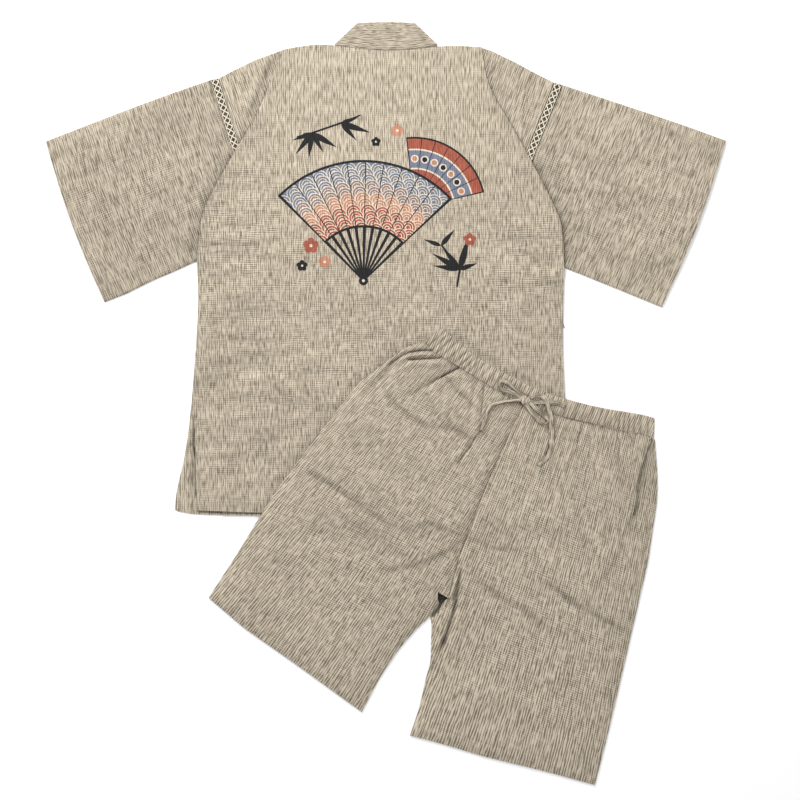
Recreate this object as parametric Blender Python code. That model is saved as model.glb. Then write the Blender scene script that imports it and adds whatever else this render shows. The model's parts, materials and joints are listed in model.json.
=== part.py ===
"""
Jinbei set laid flat: a short wrap jacket lying on its front, with half-length shorts over its
lower right corner. The floor is z = 0, +X is right and +Y is up the set, seen from above.
Sizes are in millimetres, and become metres where a mesh is made. On the jacket the wearer's
left is at -X, because its back shows. On the shorts it is at +x, because their front shows.
"""

import math

import bmesh
import bpy
import numpy as np
from mathutils import Vector
from mathutils.geometry import delaunay_2d_cdt, intersect_line_line_2d

MM = 0.001

# Walls and the height of each layer
CLOTH = 1.0  # wall of every single layer of the crepe
SEAM = 0.3  # clearance between pieces that are sewn together or lie on each other
PLY = CLOTH + SEAM  # one layer lying on another
NECKBAND = 2.0  # wall of the neckband where it shows, folded double
TAPE = 1.2  # wall of the drawstring's tape

# How a layer comes down past the edge of the one under it: flat so far, on the floor by there
FRONT_DRAPE = (6.0, 16.0)
BACK_DRAPE = (8.0, 20.0)
SHORTS_DRAPE = (5.0, 34.0)

# Jacket, neckband. Right half, the left is its mirror: seam edge x, y, free edge x, y,
# and how many strips the stretch down to the next row is cut into
BAND_ROWS = [
    (81.5, 573, 44.5, 608, 2),
    (76, 530, 33, 548, 3),
    (62, 480, 23, 500, 4),
    (40, 444, 5, 469, 12),
    (-27, 351, -62, 376, 7),
    (-228, 72, -263, 97, 0),
]
BAND_END_GAP = 1.5  # from the band's lower end down to the corner of the front
# Back of the neck, between the two slanted folds: seam x, y, free edge x, y
NAPE_ROWS = [(-39, 567, -20, 609.5), (4, 564, 2, 610), (51, 567, 25, 609.5)]
BAND_TURN = (1.5, 0.3)  # how far the slanted fold's outer and inner faces stand out past its line
BAND_COLUMNS = 5

# Jacket, the outline of each side from the neck out and down: x, y
BACK_NECK = {"left": (-85, 572.6), "right": (85, 571.2)}
FRONT_NECK = {"left": (-84.5, 573.2), "right": (85, 571.2)}
SHOULDER = {
    "left": [(-109, 574), (-137, 571), (-165, 565), (-209, 549), (-242, 533), (-267, 520)],
    "right": [(116, 572), (153, 569), (172, 562), (205, 546), (238, 528), (268, 513)],
}
PLEAT = {
    "left": [(-165, 565), (-176, 538), (-202, 469), (-241, 404), (-289, 318), (-297, 285), (-302, 228)],
    "right": [
        (153, 569), (157, 536), (163, 512), (179, 479), (197, 451), (215, 419), (229, 394), (265, 324),
        (282, 286), (285, 217),
    ],
}
PLEAT_WIDTH = 24.0  # how far in from its edge the folded pleat lifts the back
PLEAT_STEP = 1.5  # how far out of the edge the layer under it is reached
PLEAT_STEP_FOOT = 390.0  # down to here, that step has its own line of points
LACE_INNER = {"left": [(-267, 520), (-192, 276)], "right": [(268, 513), (171, 266)]}
LACE_OUTER = {"left": [(-281, 517), (-205, 271)], "right": [(283, 509), (184, 261)]}
SLEEVE_TOP = {
    "left": [(-281, 517), (-345, 495), (-410, 471), (-480, 444), (-544, 419)],
    "right": [(283, 509), (350, 487), (422, 463), (484, 442), (544, 420)],
}
SLEEVE_UNDER = {
    "left": [(-205, 271), (-302, 228), (-334, 213), (-372, 197), (-416, 175), (-450, 162)],
    "right": [(184, 261), (285, 217), (318, 204), (360, 187), (404, 169), (441, 154)],
}
CUFF_BOW = 6.0  # how far the cuff bows out between its corners
SLEEVE_SWELL = 1.8  # how far its upper layer stands off its lower one
SLEEVE_SWELL_START = 60.0  # how far out of the back's main part the swell is whole
SLEEVE_ROWS = (0.0, 0.12, 0.25, 0.4, 0.55, 0.7, 0.85, 1.0)
SLEEVE_COUNTS = (7, 13)  # points across its lower and its upper layer
SLEEVE_ENDS = ((1.2, 0.0), (2.8, 1.8))  # where both layers end and where they meet: outside, inside
FRONT_UNDER_SLEEVE = {"left": [(-200, 266), (-302, 224.5)], "right": [(178, 256), (285, 213.5)]}
SIDE = {
    "left": [(-302, 224), (-300, 167), (-302, 117), (-306, 61), (-310, 13)],
    "right": [(285, 213), (283, 160), (282, 85), (286, 9), (287, -80)],
}
BACK_VENT = {"left": [(-305, -39), (-303, -171)], "right": [(288, -175)]}
FRONT_VENT = {
    "left": [(-316, -47), (-324, -96), (-331, -122), (-336, -148), (-338, -170), (-329, -174)],
    "right": [(289, -178)],
}
BACK_HEM = [(-198, -175), (-60, -176), (80, -176), (200, -176)]
FRONT_HEM_Y = -179
FRONT_EDGE_X = 262  # the crossed-over front edges, either side of the middle
BAND_END = (263, 97)

# The main part of the back, without its shoulder parts, is drawn out past the cloth to here
PAST_TOP = 600
PAST_SIDE = 400
PAST_SIDE_TOP = 200

# Where the hidden layers lie on each other: under the right front, and under the back
UNDER_RIGHT_FRONT = [
    (-44, 608), (-33, 548), (-23, 500), (-5, 469), (180, 212), (300, 190),
    (300, -190), (-360, -190), (-360, 300), (-130, 608),
]
UNDER_BACK = [(0, 472), (180, 212), (300, 190), (300, -190), (-264, -190), (-263, 97)]
UNDER_SHORTS = [(-264, -180), (289, -180), (289, 186), (-264, 186)]

# Tie sewn into the right side seam, lying under the right front: width, and its middle, x, y
TIE_WIDTH = 8.0
TIE_ROUTE = [(290, 125), (282, 124), (275, 118), (273, 106), (272.5, 60), (271, -110)]

# Lace: holes of one repeat, in a row down the middle
LACE_REPEAT = 12.0
LACE_HOLE = (4.8, 8.0)

# Shorts, in their own frame, which is turned and placed by these
SHORTS_AT = (241.6, 24.6)
SHORTS_TURN = math.radians(-22.7)
WAIST_TOP = [
    (-178, 29), (-143, 18), (-100, 7), (-55, 2), (-2, -2), (47, 1), (105, 10), (166, 24), (192, 28),
]
WAIST_BOTTOM = [
    (-194, 0), (-174, -10), (-128, -17), (-67, -27), (-9, -31), (49, -27), (116, -16), (180, -4), (203, -1),
]
WAIST_ROWS = (0.0, 0.12, 0.5, 0.88, 1.0)
WAIST_ENDS = ((1.4, 0.0), (3.2, 2.0))
WAIST_SWELL = 0.8
WAIST_INNER_SWELL = 0.3
GATHERS = 22
GATHER_RISE = 1.5
GATHER_DRIFT = [(0.012, 9), (0.008, 23)]  # what makes them uneven: how far, and how often
GATHER_FLAT = 0.45  # share of the rise that is lost at the band's edges
GATHER_FADE = 0.3  # how fast they die out at the hips
OUTSEAM = {
    "right": [
        (-194, -1), (-219, -19), (-246, -67), (-266, -101), (-295, -206), (-324, -324), (-340, -430),
        (-355, -512),
    ],
    "left": [
        (205, -3), (230, -51), (246, -90), (270, -184), (293, -318), (307, -401), (320, -482), (330, -550),
    ],
}
HEM = {
    "right": [(-283, -535), (-178, -558), (-59, -586)],
    "left": [(251, -560), (151, -576), (75, -584), (27, -591)],
}
INSEAM = {
    "right": [(-54, -526), (-43, -470), (-29, -428), (-18, -405), (-13, -383)],
    "left": [(24, -544), (15, -496), (12, -468), (-1, -437), (-9, -414), (-13, -404)],
}
CROTCH = {"right": [(-19, -362), (-3, -366)], "left": [(-10, -398), (3, -372)]}
FRONT_SEAM = [(-10, -32), (-13, -86), (-15, -152), (-14, -224), (-12, -284), (-6, -335), (-1, -364)]
BACK_SEAM = [(-10, -32), (-12, -150), (-8, -370)]
BACK_CROTCH = {"right": [(-13, -384)], "left": [(-4, -400)]}
POCKET = {
    "right": [(-127, -18.4), (-141, -35), (-155, -53), (-170, -73), (-181, -92)],
    "left": [(201, -4), (200, -35), (204, -68), (212, -100), (219, -130)],
}
POCKET_FOOT = {"right": (-260, -92), "left": (256, -130)}
POCKET_SINK = 0.5  # how far the facing lies below the front beside it
SHORTS_SWELL = 5.0
SHORTS_SWELL_REACH = 32.0
CORNER_GAP = 3.0  # points of an edge that are closer than this to a corner are left out

# Folds of the shorts' fronts: x, y to x, y, half the width, and the rise (below 0, a groove)
FOLDS = [
    (-79, -34, -60, -94, 9, 2.6),
    (-60, -94, -74, -164, 9, 1.8),
    (15, -372, 6, -338, 7, -3.0),
    (15, -372, 20, -418, 7, -3.0),
    (20, -418, 18, -458, 7, -1.8),
    (-3, -330, 1, -350, 4, 1.8),
    (-250, -230, -120, -250, 26, 2.2),
    (-300, -400, -170, -380, 24, 2.0),
    (60, -360, 190, -330, 26, 2.2),
    (90, -480, 230, -470, 24, 2.0),
]
FACING_FOLDS = [
    (-156, -10, -181, -24, 5, -1.6),
    (-181, -24, -208, -38, 5, -1.6),
    (-174, -9, -193, -17, 5, -2.2),
    (-193, -17, -220, -38, 5, -2.2),
    (-220, -38, -234, -60, 5, -1.4),
]
# Gathers that run on below the waistband: x on its seam, and how long each is
GATHER_TAILS = [
    (-110, 34), (-96, 22), (-46, 40), (-31, 26), (8, 38), (24, 24), (37, 62),
    (68, 44), (84, 26), (101, 52), (119, 30), (137, 46), (154, 24), (171, 40),
]
GATHER_TAIL = (4.5, 1.4)  # half its width, and its rise
GATHER_TAIL_GAP = 3.0  # from the waistband's seam down to its start
GATHER_LEAN = 0.0008  # how much it leans to the middle, for each mm from it
FOLD_START = 12.0  # a fold has its whole height this far in from the outline
FOLD_DEEPEST = 0.8  # no groove goes deeper than this share of the swell

# Drawstring: tape width, then each run's middle, x, y and the height over what it lies on
TAPE_WIDTH = 8.5
KNOT_AT = (-10, -25)
KNOT_SIZE = (13, 15, 5.0)
KNOT_LIFT_AT = 10.0  # the knot lies as high as the waistband this far above its middle
KNOT_ROUND = (0.75, 0.7)  # how much it narrows towards its ends and its sides, 1 is to a point
KNOT_COUNTS = (7, 5)
# Where a tape comes down from the waistband to the front: from the seam up, down, and how slowly
BAND_FOOT = (6.0, 4.0, 10.0)
TAIL_ROUTES = {
    "drawstring_tail_right": [
        (-18, -28, 0.6), (-40, -40, 0.5), (-55, -52, 0.4), (-60, -66, 0.4), (-58, -84, 0.4), (-57, -97, 0.4),
    ],
    "drawstring_tail_left": [
        (-3, -17, 2.4), (6, -10, 2.2), (17, -11, 2.2), (28, -22, 3.4), (40, -41, 3.4),
        (52, -66, 0.6), (57, -84, 0.4), (55, -100, 0.4), (50, -111, 0.4),
    ],
}
LOOP_ROUTES = {
    "drawstring_loop_right": [(-19, -20), (-38, -19), (-57, -17)],
    "drawstring_loop_left": [(-5, -34), (13, -39), (32, -46)],
}
LOOP_SPREAD = {"drawstring_loop_right": (-4, -7), "drawstring_loop_left": (-2, 3)}
LOOP_RISE = 1.6  # height between the two runs of a loop
LOOP_POINTS = 7
LOOP_TIP = (1.6, 0.2)  # how far the fold's outer and inner faces stand out past the route's end
STRAND_ROUTE = [(50, -8, 0.3), (34, -11, 0.3), (18, -19, 0.3), (-1.5, -25, 0.3)]

# Triangle sizes
COARSE = 60.0
MEDIUM = 42.0
FINE = 26.0

LINEN = (0.50, 0.44, 0.35)
LINEN_LIGHT = (0.53, 0.47, 0.37)
LACE_CREAM = (0.82, 0.76, 0.62)


def clear_scene():
    """Takes every object out of the scene."""
    for thing in list(bpy.data.objects):
        bpy.data.objects.remove(thing, do_unlink=True)


def fabric(name, colour, roughness=0.9):
    """A plain cloth material."""
    made = bpy.data.materials.new(name)
    made.use_nodes = True
    shader = made.node_tree.nodes["Principled BSDF"]
    shader.inputs["Base Color"].default_value = (*colour, 1.0)
    shader.inputs["Roughness"].default_value = roughness
    shader.inputs["Metallic"].default_value = 0.0
    return made


def add_piece(name, points, faces, material, parent=None):
    """Makes one closed mesh object from points in millimetres."""
    mesh = bpy.data.meshes.new(name)
    mesh.from_pydata([tuple(MM * c for c in p) for p in points], [], [tuple(f) for f in faces])
    piece = bpy.data.objects.new(name, mesh)
    bpy.context.scene.collection.objects.link(piece)
    work = bmesh.new()
    work.from_mesh(mesh)
    bmesh.ops.recalc_face_normals(work, faces=work.faces)
    work.to_mesh(mesh)
    work.free()
    mesh.materials.append(material)
    mesh.shade_smooth()
    mesh.set_sharp_from_angle(angle=math.radians(40))
    piece.parent = parent
    return piece


# Plane geometry

def stepped(points, step, closed=False):
    """The polyline with points added so that none is further than step from the next."""
    points = [np.array(p, float) for p in points]
    ends = points[1:] + points[:1] if closed else points[1:]
    out = []
    for start, end in zip(points, ends):
        count = max(1, math.ceil(np.linalg.norm(end - start) / step))
        out += [start + (end - start) * k / count for k in range(count)]
    return out if closed else out + [points[-1]]


def along(points, share):
    """The point at a share of the polyline's length."""
    points = np.array(points, float)
    lengths = np.r_[0, np.cumsum(np.linalg.norm(np.diff(points, axis=0), axis=1))]
    place = share * lengths[-1]
    return np.array([np.interp(place, lengths, points[:, k]) for k in (0, 1)])


def length_of(points):
    """Length of a polyline."""
    return float(np.sum(np.linalg.norm(np.diff(np.array(points, float), axis=0), axis=1)))


def beside(points, distance, closed=False):
    """The polyline moved to its left by distance, its corners mitred."""
    points = [np.array(p, float) for p in points]
    count = len(points)
    out = []
    for k, here in enumerate(points):
        before = points[k - 1] if closed or k else None
        after = points[(k + 1) % count] if closed or k < count - 1 else None
        normals = []
        for start, end in ((before, here), (here, after)):
            if start is not None and end is not None:
                run = (end - start) / np.linalg.norm(end - start)
                normals.append(np.array([-run[1], run[0]]))
        middle = sum(normals) / len(normals)
        out.append(here + middle * distance / max(0.35, float(middle @ middle)))
    return out


def distance_to_line(x, y, points, closed=False):
    """Distance of every point to a polyline."""
    x, y = np.asarray(x, float), np.asarray(y, float)
    points = [np.array(p, float) for p in points]
    ends = points[1:] + points[:1] if closed else points[1:]
    nearest = np.full(x.shape, 1e9)
    for start, end in zip(points, ends):
        run = end - start
        share = np.clip(((x - start[0]) * run[0] + (y - start[1]) * run[1]) / float(run @ run), 0, 1)
        gap = np.hypot(x - start[0] - share * run[0], y - start[1] - share * run[1])
        nearest = np.minimum(nearest, gap)
    return nearest


def inside(x, y, outline):
    """Whether every point lies inside a closed outline."""
    x, y = np.asarray(x, float), np.asarray(y, float)
    hit = np.zeros(x.shape, bool)
    for (ax, ay), (bx, by) in zip(outline, list(outline[1:]) + [outline[0]]):
        if ay != by:
            crosses = (ay > y) != (by > y)
            hit ^= crosses & (x < ax + (y - ay) * (bx - ax) / (by - ay))
    return hit


def away(x, y, outline):
    """Distance outside a closed outline, and below 0 inside it."""
    gap = distance_to_line(x, y, outline, closed=True)
    return np.where(inside(x, y, outline), -gap, gap)


def drape(x, y, outline, limits):
    """1 on the outline's area and just past it, 0 from the foot on, and straight between."""
    flat, foot = limits
    return np.clip((foot - away(x, y, outline)) / (foot - flat), 0, 1)


def drape_lines(outline, limits, step):
    """The two creases of a drape, where it starts to come down and where it lands."""
    outline = list(outline)
    area = sum(a[0] * b[1] - b[0] * a[1] for a, b in zip(outline, outline[1:] + outline[:1]))
    turn = -1.0 if area > 0 else 1.0
    lines = []
    for distance in limits:
        line = stepped(beside(outline, turn * distance, closed=True), step, closed=True)
        lines.append(line + [line[0]])
    return lines


# Solids

def triangles_of(outline, creases, holes, step):
    """Triangulates an outline with its creases and holes, with points about a step apart."""
    loops = [stepped(outline, step, closed=True)] + [list(hole) for hole in holes]
    points, edges = [], []
    for loop in loops:
        first = len(points)
        points += [Vector(p) for p in loop]
        edges += [(first + k, first + (k + 1) % len(loop)) for k in range(len(loop))]
    for line in creases:
        first = len(points)
        points += [Vector(p) for p in line]
        edges += [(first + k, first + k + 1) for k in range(len(line) - 1)]
    fixed = np.array(points)
    low, high = np.min(loops[0], axis=0), np.max(loops[0], axis=0)
    row_gap = step * math.sqrt(3) / 2
    for row in range(int((high[1] - low[1]) / row_gap) + 1):
        start = low[0] + (0.5 * step if row % 2 else 0.0)
        for x in np.arange(start, high[0], step):
            here = np.array([x, low[1] + row * row_gap])
            if np.min(np.hypot(*(fixed - here).T)) > 0.55 * step:
                points.append(Vector(here))
    made, _, faces, *_ = delaunay_2d_cdt(points, edges, [], 0, 1e-5)
    made = np.array([tuple(p) for p in made])
    centres = np.array([made[list(f)].mean(axis=0) for f in faces])
    keep = inside(centres[:, 0], centres[:, 1], loops[0])
    for hole in loops[1:]:
        keep &= ~inside(centres[:, 0], centres[:, 1], hole)
    faces = [tuple(f) for f, kept in zip(faces, keep) if kept]
    used = sorted({v for f in faces for v in f})
    number = {v: k for k, v in enumerate(used)}
    return made[used], [tuple(number[v] for v in f) for f in faces]


def sheet(name, outline, underside, material, wall=CLOTH, creases=(), holes=(), step=MEDIUM, parent=None):
    """A layer of cloth: a flat outline lifted to its underside's height, with an even wall."""
    plan, faces = triangles_of(outline, creases, holes, step)
    low = underside(plan[:, 0], plan[:, 1])
    count = len(plan)
    points = [(x, y, z + wall) for (x, y), z in zip(plan, low)]
    points += [(x, y, z) for (x, y), z in zip(plan, low)]
    solid = list(faces) + [tuple(v + count for v in reversed(f)) for f in faces]
    directed = {(f[k], f[(k + 1) % 3]) for f in faces for k in range(3)}
    for start, end in directed:
        if (end, start) not in directed:
            solid.append((end, start, start + count, end + count))
    return add_piece(name, points, solid, material, parent)


def loft(name, sections, material, parent=None):
    """A solid strip through sections. Each is one face's row of points, then the other's."""
    size = len(sections[0][0])
    points, faces = [], []
    for face, other in sections:
        points += list(face) + list(reversed(list(other)))
    ring = 2 * size
    for row in range(len(sections) - 1):
        for k in range(ring):
            a, b = row * ring + k, row * ring + (k + 1) % ring
            faces.append((a, b, b + ring, a + ring))
    for first in (0, (len(sections) - 1) * ring):
        for k in range(size - 1):
            faces.append((first + k, first + k + 1, first + ring - 2 - k, first + ring - 1 - k))
    return add_piece(name, points, faces, material, parent)


def tube(name, outer, inner, material, parent=None):
    """A hollow tube open at both ends, through matching outer and inner rings."""
    size, rows = len(outer[0]), len(outer)
    points = [p for ring in outer for p in ring] + [p for ring in inner for p in ring]
    faces = []
    for first in (0, rows * size):
        for row in range(rows - 1):
            for k in range(size):
                a = first + row * size + k
                b = first + row * size + (k + 1) % size
                faces.append((a, b, b + size, a + size))
    for row in (0, rows - 1):
        for k in range(size):
            a, b = row * size + k, row * size + (k + 1) % size
            faces.append((a, b, b + rows * size, a + rows * size))
    return add_piece(name, points, faces, material, parent)


def flat_ring(place, width, low, high, ends, counts):
    """A flattened ring: the lower layer's points, the far edge, the upper layer's, the near edge."""
    corner, edge = ends[0] / width, ends[1] / width
    ring = []
    for share in np.linspace(corner, 1 - corner, counts[0]):
        x, y = place(share)
        ring.append((x, y, low(x, y, share)))
    far, near = place(1 - edge), place(edge)
    ring.append((*far, 0.5 * (low(*far, 1.0) + high(*far, 1.0))))
    for share in np.linspace(1 - corner, corner, counts[1]):
        x, y = place(share)
        ring.append((x, y, high(x, y, share)))
    ring.append((*near, 0.5 * (low(*near, 0.0) + high(*near, 0.0))))
    return ring


def tape(name, middle, width, wall, material, parent=None):
    """A flat tape along a line of points, whose heights are its underside's."""
    middle = [np.array(p, float) for p in middle]
    plan = [p[:2] for p in middle]
    left, right = beside(plan, 0.5 * width), beside(plan, -0.5 * width)
    sections = []
    for l, r, m in zip(left, right, middle):
        upper = [(*l, m[2] + wall), (*r, m[2] + wall)]
        lower = [(*l, m[2]), (*r, m[2])]
        sections.append((upper, lower))
    return loft(name, sections, material, parent)


def smooth_line(points, count):
    """Points of a smooth curve through the given ones (Catmull-Rom)."""
    points = np.array(points, float)
    padded = np.vstack([2 * points[0] - points[1], points, 2 * points[-1] - points[-2]])
    out = []
    for place in np.linspace(0, len(points) - 1, count):
        k = min(int(place), len(points) - 2)
        t = place - k
        p0, p1, p2, p3 = padded[k:k + 4]
        out.append(0.5 * (2 * p1 + (p2 - p0) * t + (2 * p0 - 5 * p1 + 4 * p2 - p3) * t ** 2
                          + (3 * p1 - p0 - 3 * p2 + p3) * t ** 3))
    return out


# Jacket

def mirrored(rows):
    """The same rows with x turned to the other side."""
    return [tuple(-c if k % 2 == 0 and k < 4 else c for k, c in enumerate(row)) for row in rows]


def covered_by_back(side):
    """Area of the sleeve and the lace, over which the back's main part lies."""
    return LACE_INNER[side][:1] + SLEEVE_TOP[side][1:] + SLEEVE_UNDER[side][::-1] + LACE_INNER[side][1:]


def pleat_below_lace(side):
    """The pleat's edge from where the lace goes under it, down to the side."""
    lace = [Vector(p) for p in LACE_INNER[side]]
    edge = PLEAT[side]
    for k, (start, end) in enumerate(zip(edge, edge[1:])):
        met = intersect_line_line_2d(lace[0], lace[1], Vector(start), Vector(end))
        if met:
            return [tuple(met)] + edge[k + 1:]
    return edge[-1:]


def back_outline():
    """Outline of the back: neck, right shoulder and side, hem, left side and shoulder."""
    nape = [BACK_NECK["left"]] + [(x, y - 2 * SEAM) for x, y, *_ in NAPE_ROWS] + [BACK_NECK["right"]]
    right = SHOULDER["right"] + pleat_below_lace("right") + SIDE["right"] + BACK_VENT["right"]
    left = SHOULDER["left"] + pleat_below_lace("left") + SIDE["left"] + BACK_VENT["left"]
    return nape + right + BACK_HEM[::-1] + left[::-1]


def main_outline():
    """The back without the shoulder parts that lie under its two long pleats."""
    halves = []
    for side, turn in (("right", 1), ("left", -1)):
        edge = PLEAT[side]
        outside = [(turn * PAST_SIDE, PAST_SIDE_TOP), (turn * PAST_SIDE, -PAST_SIDE)]
        halves.append([(edge[0][0], PAST_TOP)] + edge + outside)
    return halves[0] + halves[1][::-1]


def back_underside(x, y):
    """Height of the back's underside, over the fronts, sleeves and its own pleats."""
    over = drape(x, y, UNDER_BACK, BACK_DRAPE)
    rise = np.zeros(np.shape(x))
    for side in ("left", "right"):
        over = np.maximum(over, drape(x, y, covered_by_back(side), BACK_DRAPE))
        gap = distance_to_line(x, y, PLEAT[side])
        rise = np.maximum(rise, np.clip(1 - gap / PLEAT_WIDTH, 0, 1))
    height = np.maximum(PLY * (1 + over), PLY * (1 + over) * (1 - rise) + 3 * PLY * rise)
    under_pleat = np.clip(away(x, y, main_outline()) / PLEAT_STEP, 0, 1)
    return height + (PLY - height) * under_pleat


def build_back(cloth):
    """The back, cut in one, with a long pleat from each shoulder down to the underarm."""
    creases = drape_lines(UNDER_BACK, BACK_DRAPE, MEDIUM)
    for side, turn in (("left", 1.0), ("right", -1.0)):
        creases += drape_lines(covered_by_back(side), BACK_DRAPE, MEDIUM)
        pleat = stepped(PLEAT[side], MEDIUM)
        creases += [pleat, beside(pleat, turn * PLEAT_WIDTH)]
        shoulder = [p for p in PLEAT[side] if p[1] > PLEAT_STEP_FOOT]
        creases.append(beside(shoulder, -turn * PLEAT_STEP))
    sheet("back", back_outline(), back_underside, cloth, creases=creases)


def build_fronts(cloth):
    """Left front on the floor, and right front over it. Their front edges cross under the back."""
    band = [np.array(row[:2], float) for row in BAND_ROWS]
    run = (band[-1] - band[-2]) / np.linalg.norm(band[-1] - band[-2])
    seam_right = beside(band[:-1] + [band[-1] + 2 * SEAM * run], SEAM)
    seam_left = [(-x, y) for x, y in seam_right]
    seams = {"left": seam_left, "right": seam_right}
    for side, edge_x in (("left", FRONT_EDGE_X), ("right", -FRONT_EDGE_X)):
        outline = [FRONT_NECK[side]] + SHOULDER[side] + LACE_INNER[side][1:] + FRONT_UNDER_SLEEVE[side]
        outline += SIDE[side][1:] + FRONT_VENT[side]
        outline += [(edge_x, FRONT_HEM_Y), (edge_x, BAND_END[1] - BAND_END_GAP)]
        outline += [tuple(p) for p in seams[side][::-1][:-1]]
        if side == "left":
            sheet("front_left", outline, lambda x, y: 0.0 * x, cloth, step=COARSE)
        else:
            sheet(
                "front_right", outline,
                lambda x, y: PLY * drape(x, y, UNDER_RIGHT_FRONT, FRONT_DRAPE),
                cloth, creases=drape_lines(UNDER_RIGHT_FRONT, FRONT_DRAPE, COARSE), step=COARSE,
            )


def band_section(seam, free, outer, inner):
    """One section of the neckband: its outer face's row, then its inner face's."""
    shares = np.linspace(0, 1, BAND_COLUMNS)
    plan = [np.array(seam, float) * (1 - s) + np.array(free, float) * s for s in shares]
    face = [(*p, outer(*p)) for p in plan]
    other = [(*p, inner(*p)) for p in plan]
    return face, other


def arm_sections(rows, underside):
    """Sections of one half of the neckband, from its end up to the slanted fold."""
    sections = []
    for start, end in zip(rows, rows[1:]):
        for k in range(start[4]):
            share = k / start[4]
            row = [a + (b - a) * share for a, b in zip(start[:4], end[:4])]
            sections.append(row)
    sections.append(rows[-1][:4])
    made = []
    for ax, ay, bx, by in sections:
        made.append(band_section((ax, ay), (bx, by), underside, lambda x, y: underside(x, y) + CLOTH))
    return made[::-1]


def build_neckband(cloth):
    """One long band: up the left front, round the back of the neck, and down the right front."""
    left_rows, right_rows = mirrored(BAND_ROWS), BAND_ROWS

    def on_floor(x, y):
        return 0.0

    def on_left_front(x, y):
        return PLY * float(drape(x, y, UNDER_RIGHT_FRONT, FRONT_DRAPE))

    nape = []
    for ax, ay, bx, by in [left_rows[0][:4]] + NAPE_ROWS + [right_rows[0][:4]]:
        nape.append(band_section((ax, ay), (bx, by), lambda x, y: PLY + NECKBAND, lambda x, y: PLY))

    def turn(rows):
        """The slanted fold, where the outer face comes round to the top."""
        seam, free = np.array(rows[0][:2], float), np.array(rows[0][2:4], float)
        run = (free - seam) / np.linalg.norm(free - seam)
        out = np.array([-run[1], run[0]])
        if out[1] < 0:
            out = -out
        heights = (lambda x, y: 0.5 * (PLY + NECKBAND), lambda x, y: CLOTH + 0.5 * SEAM)
        section = band_section(seam, free, *heights)
        faces = []
        for row, reach in zip(section, BAND_TURN):
            faces.append([(x + out[0] * reach, y + out[1] * reach, z) for x, y, z in row])
        return faces

    sections = arm_sections(left_rows, on_floor) + [turn(left_rows)] + nape
    sections += [turn(right_rows)] + arm_sections(right_rows, on_left_front)[::-1]
    loft("neckband", sections, cloth)


def build_sleeves(cloth):
    """Each sleeve is one piece folded along its top, flattened to two layers, open at both ends."""
    for side, turn in (("left", -1.0), ("right", 1.0)):
        outer, inner = [], []
        for share in SLEEVE_ROWS:
            top, under = along(SLEEVE_TOP[side], share), along(SLEEVE_UNDER[side], share)
            run = (under - top) / np.linalg.norm(under - top)
            out = np.array([-run[1], run[0]]) * turn

            def place(u):
                bow = CUFF_BOW * share ** 2 * math.sin(math.pi * u)
                return tuple(top + (under - top) * u + out * bow)

            def low(x, y, u):
                return 0.0

            def high(x, y, u):
                clear = float(np.clip(away(x, y, main_outline()) / SLEEVE_SWELL_START, 0, 1))
                return CLOTH + PLY + SLEEVE_SWELL * clear * math.sin(math.pi * u)

            width = float(np.linalg.norm(under - top))
            outer.append(flat_ring(place, width, low, high, SLEEVE_ENDS[0], SLEEVE_COUNTS))
            inner.append(flat_ring(
                place, width, lambda x, y, u: CLOTH, lambda x, y, u: high(x, y, u) - CLOTH,
                SLEEVE_ENDS[1], SLEEVE_COUNTS,
            ))
        tube("sleeve_" + side, outer, inner, cloth)


def build_laces(thread):
    """Lace let in round each armhole, in two halves. The upper one is cut through."""
    for side, into in (("left", 1.0), ("right", -1.0)):
        inner_edge = beside(LACE_INNER[side], -into * SEAM)
        outer_edge = beside(LACE_OUTER[side], into * SEAM)
        outline = [tuple(p) for p in inner_edge + outer_edge[::-1]]
        start = 0.5 * (inner_edge[0] + outer_edge[0])
        end = 0.5 * (inner_edge[1] + outer_edge[1])
        length = float(np.linalg.norm(end - start))
        run = (end - start) / length
        across = np.array([-run[1], run[0]])
        count = int(length / LACE_REPEAT)
        holes = []
        for k in range(count):
            middle = start + run * (k + 0.5) * length / count
            wide, long = across * 0.5 * LACE_HOLE[0], run * 0.5 * LACE_HOLE[1]
            holes.append([middle - long, middle + wide, middle + long, middle - wide])
        sheet("lace_back_" + side, outline, lambda x, y: PLY + 0.0 * x, thread, holes=holes, step=COARSE)
        sheet("lace_front_" + side, outline, lambda x, y: 0.0 * x, thread, step=COARSE)


def build_tie(cloth):
    """The tie of the outer front, from the side seam down the jacket's right side."""
    tape("tie_side", [(x, y, 0.0) for x, y in smooth_line(TIE_ROUTE, 24)], TIE_WIDTH, CLOTH, cloth)


# Shorts

def waist_seam():
    """The waistband's lower edge, from the wearer's right to left, as a smooth line."""
    smooth = smooth_line(WAIST_BOTTOM, 120)
    return [along(smooth, share) for share in np.linspace(0, 1, 2 * GATHERS + 1)]


def to_set(x, y):
    """A point of the shorts' frame, in the set's frame."""
    c, s = math.cos(SHORTS_TURN), math.sin(SHORTS_TURN)
    x, y = np.asarray(x, float), np.asarray(y, float)
    return SHORTS_AT[0] + c * x - s * y, SHORTS_AT[1] + s * x + c * y


def to_shorts(points):
    """Points of the set's frame, in the shorts' frame."""
    c, s = math.cos(SHORTS_TURN), math.sin(SHORTS_TURN)
    moved = [(x - SHORTS_AT[0], y - SHORTS_AT[1]) for x, y in points]
    return [(c * x + s * y, -s * x + c * y) for x, y in moved]


def ground(x, y):
    """Height of what the shorts lie on: the jacket, then the floor."""
    return 3 * PLY * drape(*to_set(x, y), UNDER_SHORTS, SHORTS_DRAPE)


def whole_outline():
    """Outline of both legs together, as it shows."""
    right = OUTSEAM["right"] + HEM["right"] + INSEAM["right"]
    left = OUTSEAM["left"] + HEM["left"] + INSEAM["left"]
    return WAIST_BOTTOM[1:-1] + left + right[::-1]


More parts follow.
